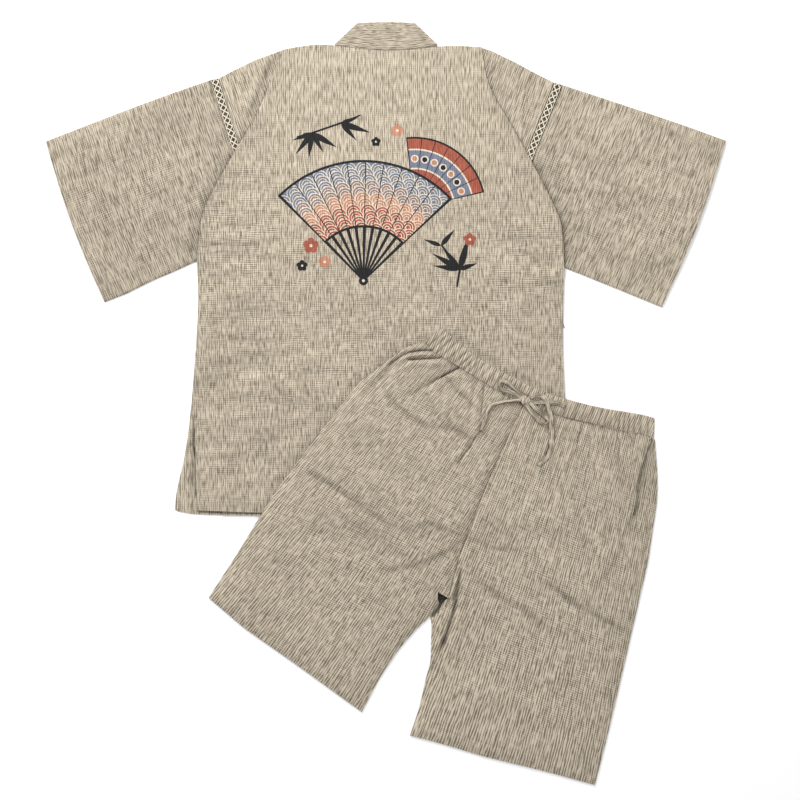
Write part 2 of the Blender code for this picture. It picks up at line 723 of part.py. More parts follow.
def folds(x, y, rows):
    """Height of the folds and grooves at a point."""
    total = np.zeros(np.shape(x))
    for ax, ay, bx, by, half, rise in rows:
        shape = np.clip(1 - distance_to_line(x, y, [(ax, ay), (bx, by)]) / half, 0, 1) * rise
        total = np.where(np.abs(shape) > np.abs(total), shape, total)
    return total


def fold_lines(rows, step):
    """The crest and the two feet of every fold."""
    lines = []
    for ax, ay, bx, by, half, _ in rows:
        crest = stepped([(ax, ay), (bx, by)], step)
        lines += [crest, beside(crest, half), beside(crest, -half)]
    return lines


def gather_rows():
    """The gathers that run on below the waistband, as folds."""
    rows = []
    for x, length in GATHER_TAILS:
        y = float(np.interp(x, *zip(*WAIST_BOTTOM))) - GATHER_TAIL_GAP
        rows.append((x, y, x - GATHER_LEAN * x * length, y - length, *GATHER_TAIL))
    return rows


def front_underside(x, y):
    """Height of the fronts' underside: over the back layer, swollen with air, and folded."""
    depth = np.clip(-away(x, y, whole_outline()), 0, None)
    swell = SHORTS_SWELL * (1 - np.exp(-depth / SHORTS_SWELL_REACH))
    lift = np.clip(depth / FOLD_START, 0, 1)
    folded = np.maximum(folds(x, y, FOLDS + gather_rows()), -FOLD_DEEPEST * swell)
    return ground(x, y) + PLY + swell + lift * folded


def build_legs(cloth, frame):
    """The two backs, and over them the two fronts and the pocket facings."""
    edge = [to_shorts(line) for line in drape_lines(UNDER_SHORTS, SHORTS_DRAPE, MEDIUM)]
    waist = beside(waist_seam(), -SEAM)[1:-1]
    waist_of = {
        "right": [p for p in waist if p[0] < FRONT_SEAM[0][0] - CORNER_GAP],
        "left": [p for p in waist if p[0] > FRONT_SEAM[0][0] + CORNER_GAP][::-1],
    }
    for side, turn in (("right", 1.0), ("left", -1.0)):
        seam = beside(BACK_SEAM, -turn * 0.5 * SEAM)
        outline = seam + BACK_CROTCH[side] + INSEAM[side][::-1] + HEM[side][::-1] + OUTSEAM[side][::-1]
        outline += waist_of[side]
        sheet("shorts_back_" + side, outline, ground, cloth, creases=edge, step=COARSE, parent=frame)

        pocket, foot = POCKET[side], POCKET_FOOT[side]
        below = [p for p in OUTSEAM[side] if p[1] < foot[1] - CORNER_GAP]
        above = [p for p in OUTSEAM[side] if p[1] > foot[1] + CORNER_GAP]
        seam = beside(FRONT_SEAM, -turn * 0.5 * SEAM)
        beyond = [p for p in waist_of[side] if turn * (p[0] - pocket[0][0]) > CORNER_GAP]
        outline = seam + CROTCH[side][::-1] + INSEAM[side][::-1] + HEM[side][::-1] + below[::-1]
        outline += [foot] + pocket[::-1] + beyond
        lines = edge + fold_lines(FOLDS + gather_rows(), FINE)
        sheet("shorts_front_" + side, outline, front_underside, cloth, creases=lines, step=FINE, parent=frame)

        inner = beside(pocket, -turn * 2 * SEAM)
        corner = (inner[-1][0], foot[1] + 2 * SEAM)
        outside = [p for p in waist_of[side] if turn * (p[0] - pocket[0][0]) < -CORNER_GAP]
        outline = inner[:-1] + [corner, (foot[0] + turn, foot[1] + 2 * SEAM)] + above[::-1] + outside
        rows = FACING_FOLDS if side == "right" else []

        def facing_underside(x, y):
            flat = front_underside(x, y) - POCKET_SINK
            least = ground(x, y) + PLY
            return np.maximum(flat + folds(x, y, rows), least)

        sheet(
            "pocket_facing_" + side, outline, facing_underside, cloth,
            creases=edge + fold_lines(rows, FINE), step=FINE, parent=frame,
        )


def waistband_top(x, y, share, up):
    """Height of the gathered waistband's upper face."""
    place = GATHERS * (share + sum(far * math.sin(often * share) for far, often in GATHER_DRIFT))
    ends = math.sin(math.pi * min(1, max(0, share))) ** GATHER_FADE
    gather = GATHER_RISE * ends * (0.5 - 0.5 * math.cos(2 * math.pi * place))
    middle = math.sin(math.pi * up)
    gather *= 1 - GATHER_FLAT * (1 - middle)
    return float(ground(x, y)) + CLOTH + PLY + gather + WAIST_SWELL * middle


def build_waistband(cloth, frame):
    """The elastic casing: a flattened ring, gathered where its front shows."""
    outer, inner = [], []
    bottom, top = waist_seam(), smooth_line(WAIST_TOP, 60)
    for up in WAIST_ROWS:
        def place(u):
            return tuple(along(bottom, u) * (1 - up) + along(top, u) * up)

        def low(x, y, u):
            return float(ground(x, y))

        def high(x, y, u):
            return waistband_top(x, y, u, up)

        def inside_high(x, y, u):
            return float(ground(x, y)) + PLY + WAIST_INNER_SWELL * math.sin(math.pi * up)

        def inside_low(x, y, u):
            return low(x, y, u) + CLOTH

        width = length_of(bottom)
        counts = (2 * GATHERS + 1, 4 * GATHERS + 1)
        outer.append(flat_ring(place, width, low, high, WAIST_ENDS[0], counts))
        inner.append(flat_ring(place, width, inside_low, inside_high, WAIST_ENDS[1], counts))
    tube("waistband", outer, inner, cloth, frame)


def waist_or_front(x, y):
    """Height of the top of the shorts at a point, whether waistband or front."""
    seam = float(np.interp(x, *zip(*WAIST_BOTTOM)))
    band = float(ground(x, y)) + CLOTH + PLY + GATHER_RISE + WAIST_SWELL
    front = float(front_underside(np.array([x]), np.array([y]))[0]) + CLOTH
    above, below, slope = BAND_FOOT
    if y > seam + above:
        return band
    share = min(1.0, max(0.0, (seam - below - y) / slope))
    return max(band, front) * (1 - share) + front * share


def build_knot(cloth, frame):
    """The bow's knot, a rounded lump of tape on the waistband's lower edge."""
    base = waist_or_front(KNOT_AT[0], KNOT_AT[1] + KNOT_LIFT_AT) + SEAM
    wide, long, tall = KNOT_SIZE
    sections = []
    for share in np.linspace(-1, 1, KNOT_COUNTS[0]):
        shrink = math.sqrt(1 - KNOT_ROUND[0] * share ** 2)
        x = KNOT_AT[0] + 0.5 * wide * share
        rows = []
        for half in (0.5, -0.5):
            row = []
            for v in np.linspace(-1, 1, KNOT_COUNTS[1]):
                bulge = math.sqrt(1 - KNOT_ROUND[1] * v * v)
                z = base + tall * (0.5 + half * shrink * bulge)
                row.append((x, KNOT_AT[1] + 0.5 * long * v * shrink, z))
            rows.append(row)
        sections.append(rows)
    loft("drawstring_knot", sections, cloth, frame)


def build_runs(cloth, frame):
    """The drawstring's two free ends, and the strand that goes into the waistband."""
    for name, route in (*TAIL_ROUTES.items(), ("drawstring_strand_left", STRAND_ROUTE)):
        middle = smooth_line(route, 4 * len(route))
        plan = [p[:2] for p in middle]
        heights = []
        for spots in zip(plan, beside(plan, 0.5 * TAPE_WIDTH), beside(plan, -0.5 * TAPE_WIDTH)):
            heights.append(max(waist_or_front(*p) for p in spots))
        line = []
        for k, p in enumerate(middle):
            line.append((p[0], p[1], max(heights[max(0, k - 1):k + 2]) + p[2]))
        tape(name, line, TAPE_WIDTH, TAPE, cloth, frame)


def build_loops(cloth, frame):
    """The bow's two loops. Each goes out from the knot, folds over, and comes back above itself."""
    half = 0.5 * TAPE_WIDTH
    for name, route in LOOP_ROUTES.items():
        out = smooth_line(route, LOOP_POINTS)
        base = max(waist_or_front(*p) for p in out) + SEAM
        sections = []
        for l, r in zip(beside(out, half), beside(out, -half)):
            sections.append(([(*l, base), (*r, base)], [(*l, base + TAPE), (*r, base + TAPE)]))
        run = (out[-1] - out[-2]) / np.linalg.norm(out[-1] - out[-2])
        side = np.array([-run[1], run[0]]) * half
        fold = []
        for reach in LOOP_TIP:
            tip = out[-1] + run * reach
            height = base + TAPE + 0.5 * SEAM
            fold.append([(*(tip + side), height), (*(tip - side), height)])
        sections.append(fold)
        shares = [k / (LOOP_POINTS - 1) for k in range(LOOP_POINTS)]
        back, heights = [], []
        for p, share in zip(out[::-1], shares[::-1]):
            back.append(p + 2 * share * (1 - share) * np.array(LOOP_SPREAD[name]))
            heights.append(base + TAPE + SEAM + LOOP_RISE * math.sin(math.pi * share) ** 0.7)
        for l, r, z in zip(beside(back, -half), beside(back, half), heights):
            sections.append(([(*l, z + TAPE), (*r, z + TAPE)], [(*l, z), (*r, z)]))
        loft(name, sections, cloth, frame)


def main():
    """Builds the whole set."""
    clear_scene()
    body_cloth = fabric("crepe_linen", LINEN)
    band_cloth = fabric("crepe_linen_light", LINEN_LIGHT)
    lace_thread = fabric("lace_cream", LACE_CREAM, 0.8)
    build_fronts(body_cloth)
    build_neckband(band_cloth)
    build_sleeves(body_cloth)
    build_laces(lace_thread)
    build_back(body_cloth)
    build_tie(band_cloth)
    shorts = bpy.data.objects.new("shorts_frame", None)
    shorts.location = (SHORTS_AT[0] * MM, SHORTS_AT[1] * MM, 0.0)
    shorts.rotation_euler = (0.0, 0.0, SHORTS_TURN)
    bpy.context.scene.collection.objects.link(shorts)
    build_legs(body_cloth, shorts)
    build_waistband(body_cloth, shorts)
    build_knot(band_cloth, shorts)
    build_runs(band_cloth, shorts)
    build_loops(band_cloth, shorts)
    bpy.context.view_layer.update()


main()
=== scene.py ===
import json
import math

import bpy
import numpy as np
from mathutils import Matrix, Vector, noise
from mathutils.bvhtree import BVHTree
from mathutils.geometry import delaunay_2d_cdt
from mathutils.kdtree import KDTree

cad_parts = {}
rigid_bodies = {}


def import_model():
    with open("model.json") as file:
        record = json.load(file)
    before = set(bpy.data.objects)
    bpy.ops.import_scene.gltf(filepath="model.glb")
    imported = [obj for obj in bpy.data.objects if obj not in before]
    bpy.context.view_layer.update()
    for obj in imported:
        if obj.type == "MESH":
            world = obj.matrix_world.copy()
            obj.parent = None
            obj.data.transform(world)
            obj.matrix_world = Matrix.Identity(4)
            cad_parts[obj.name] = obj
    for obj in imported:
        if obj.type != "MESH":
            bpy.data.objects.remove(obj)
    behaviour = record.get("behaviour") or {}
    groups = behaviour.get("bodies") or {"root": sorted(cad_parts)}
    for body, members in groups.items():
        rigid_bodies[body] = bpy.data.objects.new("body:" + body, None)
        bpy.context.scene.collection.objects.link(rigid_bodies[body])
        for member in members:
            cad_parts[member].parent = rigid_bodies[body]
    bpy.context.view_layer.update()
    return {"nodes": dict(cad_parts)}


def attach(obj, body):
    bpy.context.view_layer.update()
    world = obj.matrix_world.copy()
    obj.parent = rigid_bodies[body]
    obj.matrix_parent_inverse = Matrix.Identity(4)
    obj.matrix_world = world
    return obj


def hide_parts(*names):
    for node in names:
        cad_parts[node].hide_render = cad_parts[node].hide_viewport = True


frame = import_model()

# The set lies on a plain pale floor, under a wide soft light from above and a softer one from
# the neck's side. The camera looks straight down. Sizes are metres, in the set's own frame.
VIEW_MIDDLE = (0.0224, 0.0054)
VIEW_WIDTH = 1.28
LENS = 85.0
FILM = 36.0
scene = bpy.context.scene
camera = bpy.data.objects.new("camera", bpy.data.cameras.new("camera"))
camera.data.lens = LENS
camera.data.sensor_width = FILM
camera.location = (*VIEW_MIDDLE, VIEW_WIDTH * LENS / FILM)
scene.collection.objects.link(camera)
scene.camera = camera
scene.view_settings.view_transform = "Standard"

for name, place, size, power in [
    ("softbox_over", (0.0, 0.3, 2.6), 3.0, 36.0),
    ("softbox_neck", (-0.9, 2.2, 1.5), 1.2, 66.0),
]:
    light = bpy.data.lights.new(name, "AREA")
    light.size = size
    light.energy = power
    lamp = bpy.data.objects.new(name, light)
    lamp.location = place
    lamp.rotation_euler = (-Vector(place)).to_track_quat("-Z", "Y").to_euler()
    scene.collection.objects.link(lamp)

studio = bpy.data.worlds.new("studio")
studio.use_nodes = True
studio.node_tree.nodes["Background"].inputs["Color"].default_value = (1.0, 1.0, 1.0, 1.0)
studio.node_tree.nodes["Background"].inputs["Strength"].default_value = 0.5
scene.world = studio


def add(tree, kind, inputs=(), **settings):
    """Adds a shader node, with its settings, and with values or links for its inputs."""
    made = tree.nodes.new(kind)
    for name, value in settings.items():
        setattr(made, name, value)
    for key, value in dict(inputs).items():
        if isinstance(value, bpy.types.NodeSocket):
            tree.links.new(value, made.inputs[key])
        else:
            made.inputs[key].default_value = value
    return made


FLOOR_HALF = 3.0
FLOOR_DROP = 0.0004
floor_mesh = bpy.data.meshes.new("floor")
floor_mesh.from_pydata(
    [(x * FLOOR_HALF, y * FLOOR_HALF, -FLOOR_DROP) for x, y in ((-1, -1), (1, -1), (1, 1), (-1, 1))],
    [], [(0, 1, 2, 3)],
)
floor = bpy.data.objects.new("floor", floor_mesh)
scene.collection.objects.link(floor)
floor_paint = bpy.data.materials.new("floor_paint")
floor_paint.use_nodes = True
floor_shader = floor_paint.node_tree.nodes["Principled BSDF"]
floor_shader.inputs["Base Color"].default_value = (0.96, 0.96, 0.96, 1.0)
floor_shader.inputs["Roughness"].default_value = 0.9
floor_shader.inputs["Specular IOR Level"].default_value = 0.1
floor_mesh.materials.append(floor_paint)

# The two fronts of the jacket lie face down under everything else, the right one over the left.
# They are plain cut pieces of slub crepe, hemmed all round, and only their edges show past the
# back: at the hem, at the side slits, and at the right front's corner.
MM = 0.001
CLOTH = 0.75 * MM  # wall of the drawn cloth, which leaves air inside the solid's wall
AIR = 0.1 * MM
UNDER_STEP = 16 * MM
HARD_CORNER, STRAIGHT, EASE_ROUNDS = math.radians(26), 0.02, 2
FEEL_ROUND = (0.0004, 0.0015, 0.005)  # how far round a point a surface is felt for, in metres
RIM_LEAST, RIM_UNDER, RIM_OVER = 0.3, 0.2, 0.3  # least wall at a rim, and how far it rounds off
LINEN_LIGHT = (0.545, 0.475, 0.374, 1.0)
LINEN_MIDDLE = (0.385, 0.33, 0.252, 1.0)
LINEN_DARK = (0.16, 0.132, 0.093, 1.0)
RIB_PERIOD, RIB_LEAST = 3.3 * MM, 0.15  # from rib to rib, and how strong the weakest stretches are
CRIMP_PERIOD = 3.4 * MM
RIB_DEPTH, CRIMP_DEPTH, BAR_DEPTH = 0.2, 0.14, 0.26
SLUB_DEPTH, HAIR_DEPTH = 0.44, 0.66
WANDER = 5.0  # how far the ribs and the crimps swerve
TONE_DARK, TONE_MIDDLE, TONE_LIGHT = 0.27, 0.5, 0.66  # tones that take the three linen colours
# Spots a metre of each layer of the weave, across the grain and along it
WEAVE = {"dashes": (520.0, 60.0), "swerve": (260.0, 30.0), "patches": (30.0, 34.0), "lean": (40.0, 70.0),
         "bars": (60.0, 320.0), "slubs": (640.0, 50.0), "hairs": (900.0, 80.0), "broad": (11.0, 7.0),
         "fuzz": (1500.0, 1500.0)}


def crepe(name, dark, middle, light, relief, ribbed=1.0):
    """Slub crepe: broken dark ribs along the grain, patches of crimps across it, loose hairs."""
    cloth = bpy.data.materials.new(name)
    cloth.use_nodes = True
    tree = cloth.node_tree
    shader = tree.nodes["Principled BSDF"]
    grain = add(tree, "ShaderNodeAttribute", attribute_name="grain").outputs["Vector"]
    crimped = add(tree, "ShaderNodeAttribute", attribute_name="crimp").outputs["Fac"]
    shade = add(tree, "ShaderNodeAttribute", attribute_name="shade").outputs["Fac"]

    def maths(kind, *values):
        return add(tree, "ShaderNodeMath", dict(enumerate(values)), operation=kind).outputs[0]

    def cloudy(layer, detail=0.0):
        place = add(tree, "ShaderNodeVectorMath", {0: grain, 1: (*WEAVE[layer], 1.0)}, operation="MULTIPLY")
        inputs = {"Vector": place.outputs[0], "Scale": 1.0, "Detail": detail}
        return add(tree, "ShaderNodeTexNoise", inputs).outputs["Fac"]

    def ranged(value, start, end, low, high):
        inputs = {"Value": value, "From Min": start, "From Max": end, "To Min": low, "To Max": high}
        return add(tree, "ShaderNodeMapRange", inputs).outputs[0]

    def ribs(place, period, swerve):
        turn = maths("MULTIPLY_ADD", place, 2 * math.pi / period, maths("MULTIPLY", swerve, WANDER))
        return maths("SINE", turn)

    places = add(tree, "ShaderNodeSeparateXYZ", {0: grain}).outputs
    dashes = ranged(cloudy("dashes"), 0.36, 0.62, RIB_LEAST * ribbed ** 4, 1.0)
    rib = maths("MULTIPLY", ribs(places[0], RIB_PERIOD, cloudy("swerve")), dashes)
    patch = ranged(cloudy("patches"), 0.38, 0.66, 0.0, 1.0)
    crimp = maths("MULTIPLY", ribs(places[1], CRIMP_PERIOD, cloudy("lean")), patch)
    tone = maths("MULTIPLY_ADD", rib, RIB_DEPTH * ribbed, TONE_MIDDLE)
    crimp = maths("MULTIPLY", crimp, CRIMP_DEPTH)
    bars = maths("MULTIPLY", maths("SUBTRACT", cloudy("bars"), 0.5), BAR_DEPTH)
    tone = maths("MULTIPLY_ADD", maths("ADD", crimp, bars), crimped, tone)
    for layer, depth in (("slubs", SLUB_DEPTH / ribbed), ("hairs", HAIR_DEPTH)):
        tone = maths("MULTIPLY_ADD", maths("SUBTRACT", cloudy(layer), 0.5), depth, tone)

    ramp = add(tree, "ShaderNodeValToRGB", {"Fac": tone})
    ramp.color_ramp.elements[0].position = TONE_DARK
    ramp.color_ramp.elements[0].color = dark
    ramp.color_ramp.elements[1].position = TONE_LIGHT
    ramp.color_ramp.elements[1].color = light
    ramp.color_ramp.elements.new(TONE_MIDDLE).color = middle
    # The colour is scaled by a broad random tone and by the shade attribute, which holds each point's painted
    # light and shade.
    broad = ranged(cloudy("broad", 2.0), 0.3, 0.7, 0.96, 1.04)
    inputs = {0: ramp.outputs["Color"], "Scale": maths("MULTIPLY", broad, shade)}
    level = add(tree, "ShaderNodeVectorMath", inputs, operation="SCALE").outputs[0]
    tree.links.new(level, shader.inputs["Base Color"])

    height = maths("MULTIPLY_ADD", cloudy("fuzz"), 0.2, tone)
    bump = add(tree, "ShaderNodeBump", {"Height": height, "Strength": relief, "Distance": 0.0012})
    tree.links.new(bump.outputs["Normal"], shader.inputs["Normal"])
    shader.inputs["Roughness"].default_value = 0.88
    shader.inputs["Specular IOR Level"].default_value = 0.25
    shader.inputs["Sheen Weight"].default_value = 0.12
    shader.inputs["Sheen Roughness"].default_value = 0.5
    return cloth


body_crepe = crepe("body_crepe", LINEN_DARK, LINEN_MIDDLE, LINEN_LIGHT, 0.5)


def metres(points):
    """Points in millimetres, as metres."""
    return [(x * MM, y * MM) for x, y in points]


def stepped(points, step, closed=False):
    """The line with points added, so that none is further than step from the next."""
    points = [np.array(p, float) for p in points]
    ends = points[1:] + points[:1] if closed else points[1:]
    out = []
    for start, end in zip(points, ends):
        count = max(1, math.ceil(np.linalg.norm(end - start) / step))
        out += [start + (end - start) * k / count for k in range(count)]
    return out if closed else out + [points[-1]]


def eased(loop):
    """A closed line with its soft corners rounded and its hard ones kept."""
    hard = HARD_CORNER
    for _ in range(EASE_ROUNDS):
        out = []
        for k, here in enumerate(loop):
            before, after = loop[k - 1], loop[(k + 1) % len(loop)]
            one, two = here - before, after - here
            turn = abs(math.atan2(one[0] * two[1] - one[1] * two[0], float(one @ two)))
            if turn > hard or turn < STRAIGHT:
                out.append(here)
            else:
                out += [here - 0.25 * one, here + 0.25 * two]
        loop = out
        hard *= 0.75
    return loop


def distance_to(x, y, points, closed=False):
    """Distance of every point to a line."""
    points = [np.array(p, float) for p in points]
    ends = points[1:] + points[:1] if closed else points[1:]
    nearest = np.full(np.shape(x), 1e9)
    for start, end in zip(points, ends):
        run = end - start
        share = np.clip(((x - start[0]) * run[0] + (y - start[1]) * run[1]) / float(run @ run), 0, 1)
        gap = np.hypot(x - start[0] - share * run[0], y - start[1] - share * run[1])
        nearest = np.minimum(nearest, gap)
    return nearest


def within(x, y, outline):
    """Whether every point lies inside a closed outline."""
    hit = np.zeros(np.shape(x), bool)
    for (ax, ay), (bx, by) in zip(outline, list(outline[1:]) + [outline[0]]):
        if ay != by:
            hit ^= ((ay > y) != (by > y)) & (x < ax + (y - ay) * (bx - ax) / (by - ay))
    return hit


def outline_of(node):
    """The outer edge of a CAD sheet's upper face, run counter-clockwise."""
    mesh = frame["nodes"][node].data
    number, places = {}, []
    index = []
    for vertex in mesh.vertices:
        key = tuple(round(c * 2e5) for c in vertex.co)
        if key not in number:
            number[key] = len(places)
            places.append((vertex.co.x, vertex.co.y))
        index.append(number[key])
    edges = set()
    for face in mesh.polygons:
        if face.normal.z > 0.1:
            ring = [index[v] for v in face.vertices]
            edges |= set(zip(ring, ring[1:] + ring[:1]))
    after = {a: b for a, b in edges if (b, a) not in edges}
    loops = []
    while after:
        first, here = after.popitem()
        loop = [first]
        while here != first:
            loop.append(here)
            here = after.pop(here)
        loops.append([np.array(places[v]) for v in loop])
    spans = [np.ptp([p[0] for p in loop]) + np.ptp([p[1] for p in loop]) for loop in loops]
    return loops[int(np.argmax(spans))]


def skin_of(*meshes):
    """The faces of some meshes together, to find heights on."""
    points, faces = [], []
    for mesh in meshes:
        first = len(points)
        points += [v.co.copy() for v in mesh.vertices]
        faces += [[first + v for v in face.vertices] for face in mesh.polygons]
    return BVHTree.FromPolygons(points, faces)


def heights(skin, plan, above=True):
    """Height of a surface at each point of a plan, met from above or from below."""
    start, way = (1.0, Vector((0, 0, -1))) if above else (-1.0, Vector((0, 0, 1)))
    ring = [(0.0, 0.0)]
    for reach in FEEL_ROUND:
        ring += [(reach * math.cos(a), reach * math.sin(a)) for a in np.arange(0, 6.28, math.pi / 4)]
    out = []
    for x, y in plan:
        for dx, dy in ring:
            hit = skin.ray_cast(Vector((x + dx, y + dy, start)), way)[0]
            if hit:
                break
        out.append(hit.z if hit else 0.0)
    return np.array(out)


def cut(outline, step, lines=()):
    """A flat cut piece: its points and its triangles, with points and edges along the lines."""
    loop = stepped(outline, step, closed=True)
    points = [Vector(p) for p in loop]
    edges = [(k, (k + 1) % len(loop)) for k in range(len(loop))]
    for line in lines:
        first = len(points)
        points += [Vector(p) for p in line]
        edges += [(first + k, first + k + 1) for k in range(len(line) - 1)]
    near = KDTree(len(points))
    for k, p in enumerate(points):
        near.insert((p.x, p.y, 0.0), k)
    near.balance()
    low, high = np.min(loop, axis=0), np.max(loop, axis=0)
    for row, y in enumerate(np.arange(low[1], high[1], step * math.sqrt(3) / 2)):
        for x in np.arange(low[0] + (0.5 * step if row % 2 else 0.0), high[0], step):
            if near.find((x, y, 0.0))[2] > 0.55 * step:
                points.append(Vector((x, y)))
    made, _, faces, *_ = delaunay_2d_cdt(points, edges, [], 0, 1e-7)
    made = np.array([tuple(p) for p in made])
    faces = np.array([tuple(f) for f in faces])
    centres = made[faces].mean(axis=1)
    keep = within(centres[:, 0], centres[:, 1], loop)
    used, faces = np.unique(faces[keep], return_inverse=True)
    return made[used], faces.reshape(-1, 3)


def smoothed(values, faces, rounds):
    """Values at the points, each drawn towards its neighbours' mean."""
    pairs = np.vstack([faces[:, [0, 1]], faces[:, [1, 2]], faces[:, [2, 0]]])
    pairs = np.vstack([pairs, pairs[:, ::-1]])
    count = np.bincount(pairs[:, 0], minlength=len(values))
    for _ in range(rounds):
        total = np.bincount(pairs[:, 0], weights=values[pairs[:, 1]], minlength=len(values))
        values = 0.5 * values + 0.5 * total / count
    return values


def finish_piece(name, points, faces, cloths, grain, crimp=0.0, shade=1.0, painted=None, sharp=50):
    """Makes one mesh, with its grain for the weave, and rides it on the set."""
    mesh = bpy.data.meshes.new(name)
    mesh.from_pydata([tuple(p) for p in points], [], [tuple(map(int, f)) for f in faces])
    for cloth in cloths:
        mesh.materials.append(cloth)
    count = len(points)
    mesh.attributes.new("grain", "FLOAT_VECTOR", "POINT").data.foreach_set("vector", np.ravel(grain))
    for key, values in (("crimp", crimp), ("shade", shade)):
        full = np.broadcast_to(np.asarray(values, float), count).astype(np.float32)
        mesh.attributes.new(key, "FLOAT", "POINT").data.foreach_set("value", full)
    if painted is not None:
        mesh.polygons.foreach_set("material_index", painted)
    mesh.shade_smooth()
    mesh.set_sharp_from_angle(angle=math.radians(sharp))
    piece = bpy.data.objects.new(name, mesh)
    scene.collection.objects.link(piece)
    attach(piece, "root")
    return piece


def rim_of(faces):
    """The points round the edge of a cut piece, in order."""
    directed = {(int(f[k]), int(f[(k + 1) % 3])) for f in faces for k in range(3)}
    after = {a: b for a, b in directed if (b, a) not in directed}
    first = min(after)
    loop, here = [first], after[first]
    while here != first:
        loop.append(here)
        here = after[here]
    return loop


def lay(name, outline, step, top_of, low_of, cloths, turn=0.0, offset=0.0, lines=(), crimp_of=None,
        shade_of=None, paint_of=None):
    """A closed layer of cloth: a fine upper face, a coarse under face, and a rounded rim."""
    plan, faces = cut(outline, step, lines)
    rim = rim_of(faces)
    under, under_faces = cut([plan[v] for v in rim], UNDER_STEP)
    top, low = top_of(plan, faces), low_of(under, under_faces)
    number = {tuple(np.round(p, 6)): k for k, p in enumerate(under)}
    below = [len(plan) + number[tuple(np.round(plan[v], 6))] for v in rim]
    for v, w in zip(rim, below):
        wall = max(top[v] - low[w - len(plan)], RIM_LEAST * CLOTH)
        low[w - len(plan)] += RIM_UNDER * wall
        top[v] -= RIM_OVER * wall
    points = np.vstack([np.column_stack([plan, top]), np.column_stack([under, low])])
    solid = [tuple(f) for f in faces] + [tuple(len(plan) + v for v in f[::-1]) for f in under_faces]
    for k in range(len(rim)):
        j = (k + 1) % len(rim)
        solid.append((rim[j], rim[k], below[k], below[j]))
    whole = points[:, :2]
    colours = None
    if paint_of:
        bare = np.zeros(len(solid) - len(faces), int)
        colours = np.concatenate([paint_of(plan[faces].mean(axis=1)), bare])
    return finish_piece(
        name, points, solid, cloths, grain_of(whole, turn, offset),
        crimp_of(whole) if crimp_of else 0.4, shade_of(whole) if shade_of else 1.0, colours,
    )


def grain_of(plan, turn=0.0, offset=0.0):
    """Each point's place on the cloth: across the grain, along it, and which cut it is from."""
    c, s = math.cos(turn), math.sin(turn)
    return np.column_stack([c * plan[:, 0] + s * plan[:, 1], -s * plan[:, 0] + c * plan[:, 1],
                            np.full(len(plan), offset)])


def resting(skin):
    """Heights of the upper and of the under face of a layer that follows what lies under it."""
    def top_of(plan, faces):
        return smoothed(heights(skin, plan, above=False), faces, 2) + AIR + CLOTH

    def low_of(plan, faces):
        return smoothed(heights(skin, plan, above=False), faces, 1) + AIR

    return top_of, low_of


FLANK = 0.6  # where a crease's mesh lines run, as a share of its half width


def crease_at(x, y, line, half, rise):
    """Height of one soft ridge, or groove where rise is below 0, which dies out at its ends."""
    ends = np.minimum(np.hypot(x - line[0][0], y - line[0][1]), np.hypot(x - line[-1][0], y - line[-1][1]))
    taper = np.clip(ends / (2.5 * half) + 0.25, 0, 1)
    gap = distance_to(x, y, line)
    return rise * taper * (0.5 + 0.5 * np.cos(np.pi * np.clip(gap / half, 0, 1)))


def creased(plan, creases):
    """All the ridges and grooves of a table together. The table is in millimetres."""
    total = np.zeros(len(plan))
    for line, half, rise in creases:
        total += crease_at(plan[:, 0], plan[:, 1], metres(line), half * MM, rise * MM)
    return total


def shaded(plan, shadows, light=1.0):
    """How light the cloth is where gaps and folds shade it: line, half width and darkness."""
    return np.clip(light - creased(plan, shadows) / MM, 0.12, 1.2)


def moved(line, distance):
    """An open line moved to its left."""
    line = [np.array(p, float) for p in line]
    out = []
    for k, here in enumerate(line):
        run = line[min(k + 1, len(line) - 1)] - line[max(k - 1, 0)]
        out.append(here + distance * np.array([-run[1], run[0]]) / np.linalg.norm(run))
    return out


def flanked(line, gap):
    """A line and one on each side of it, for a mesh to follow."""
    return [line, moved(line, gap), moved(line, -gap)]


def crease_lines(creases, step):
    """The middle and the two flanks of each crease, so that the mesh has points along them."""
    lines = []
    for line, half, _ in creases:
        lines += flanked(stepped(metres(line), step), FLANK * half * MM)
    return lines


def nearest_of(loop, point):
    """Number of the loop's point that lies nearest to a point."""
    return int(np.argmin([np.hypot(*(p - np.array(point))) for p in loop]))


def spliced(loop, line):
    """A closed loop with one stretch replaced by the given line, and the stretch that is cut off."""
    start, end = nearest_of(loop, line[0]), nearest_of(loop, line[-1])
    count = (end - start) % len(loop)
    if count > len(loop) / 2:
        return spliced(loop, line[::-1])
    stretch = [loop[(start + k) % len(loop)] for k in range(count + 1)]
    rest = [loop[(end + k) % len(loop)] for k in range(len(loop) - count + 1)]
    return [np.array(p, float) for p in line[1:-1]] + rest, stretch


FRONT_STEP = 11 * MM
FRONT_HEM = {
    "left": [(-329, -174), (-300, -178.5), (-220, -179.6), (-60, -179.4), (262, -179)],
    "right": [(-262, -179), (-180, -180), (-60, -179.4), (289, -178)],
}
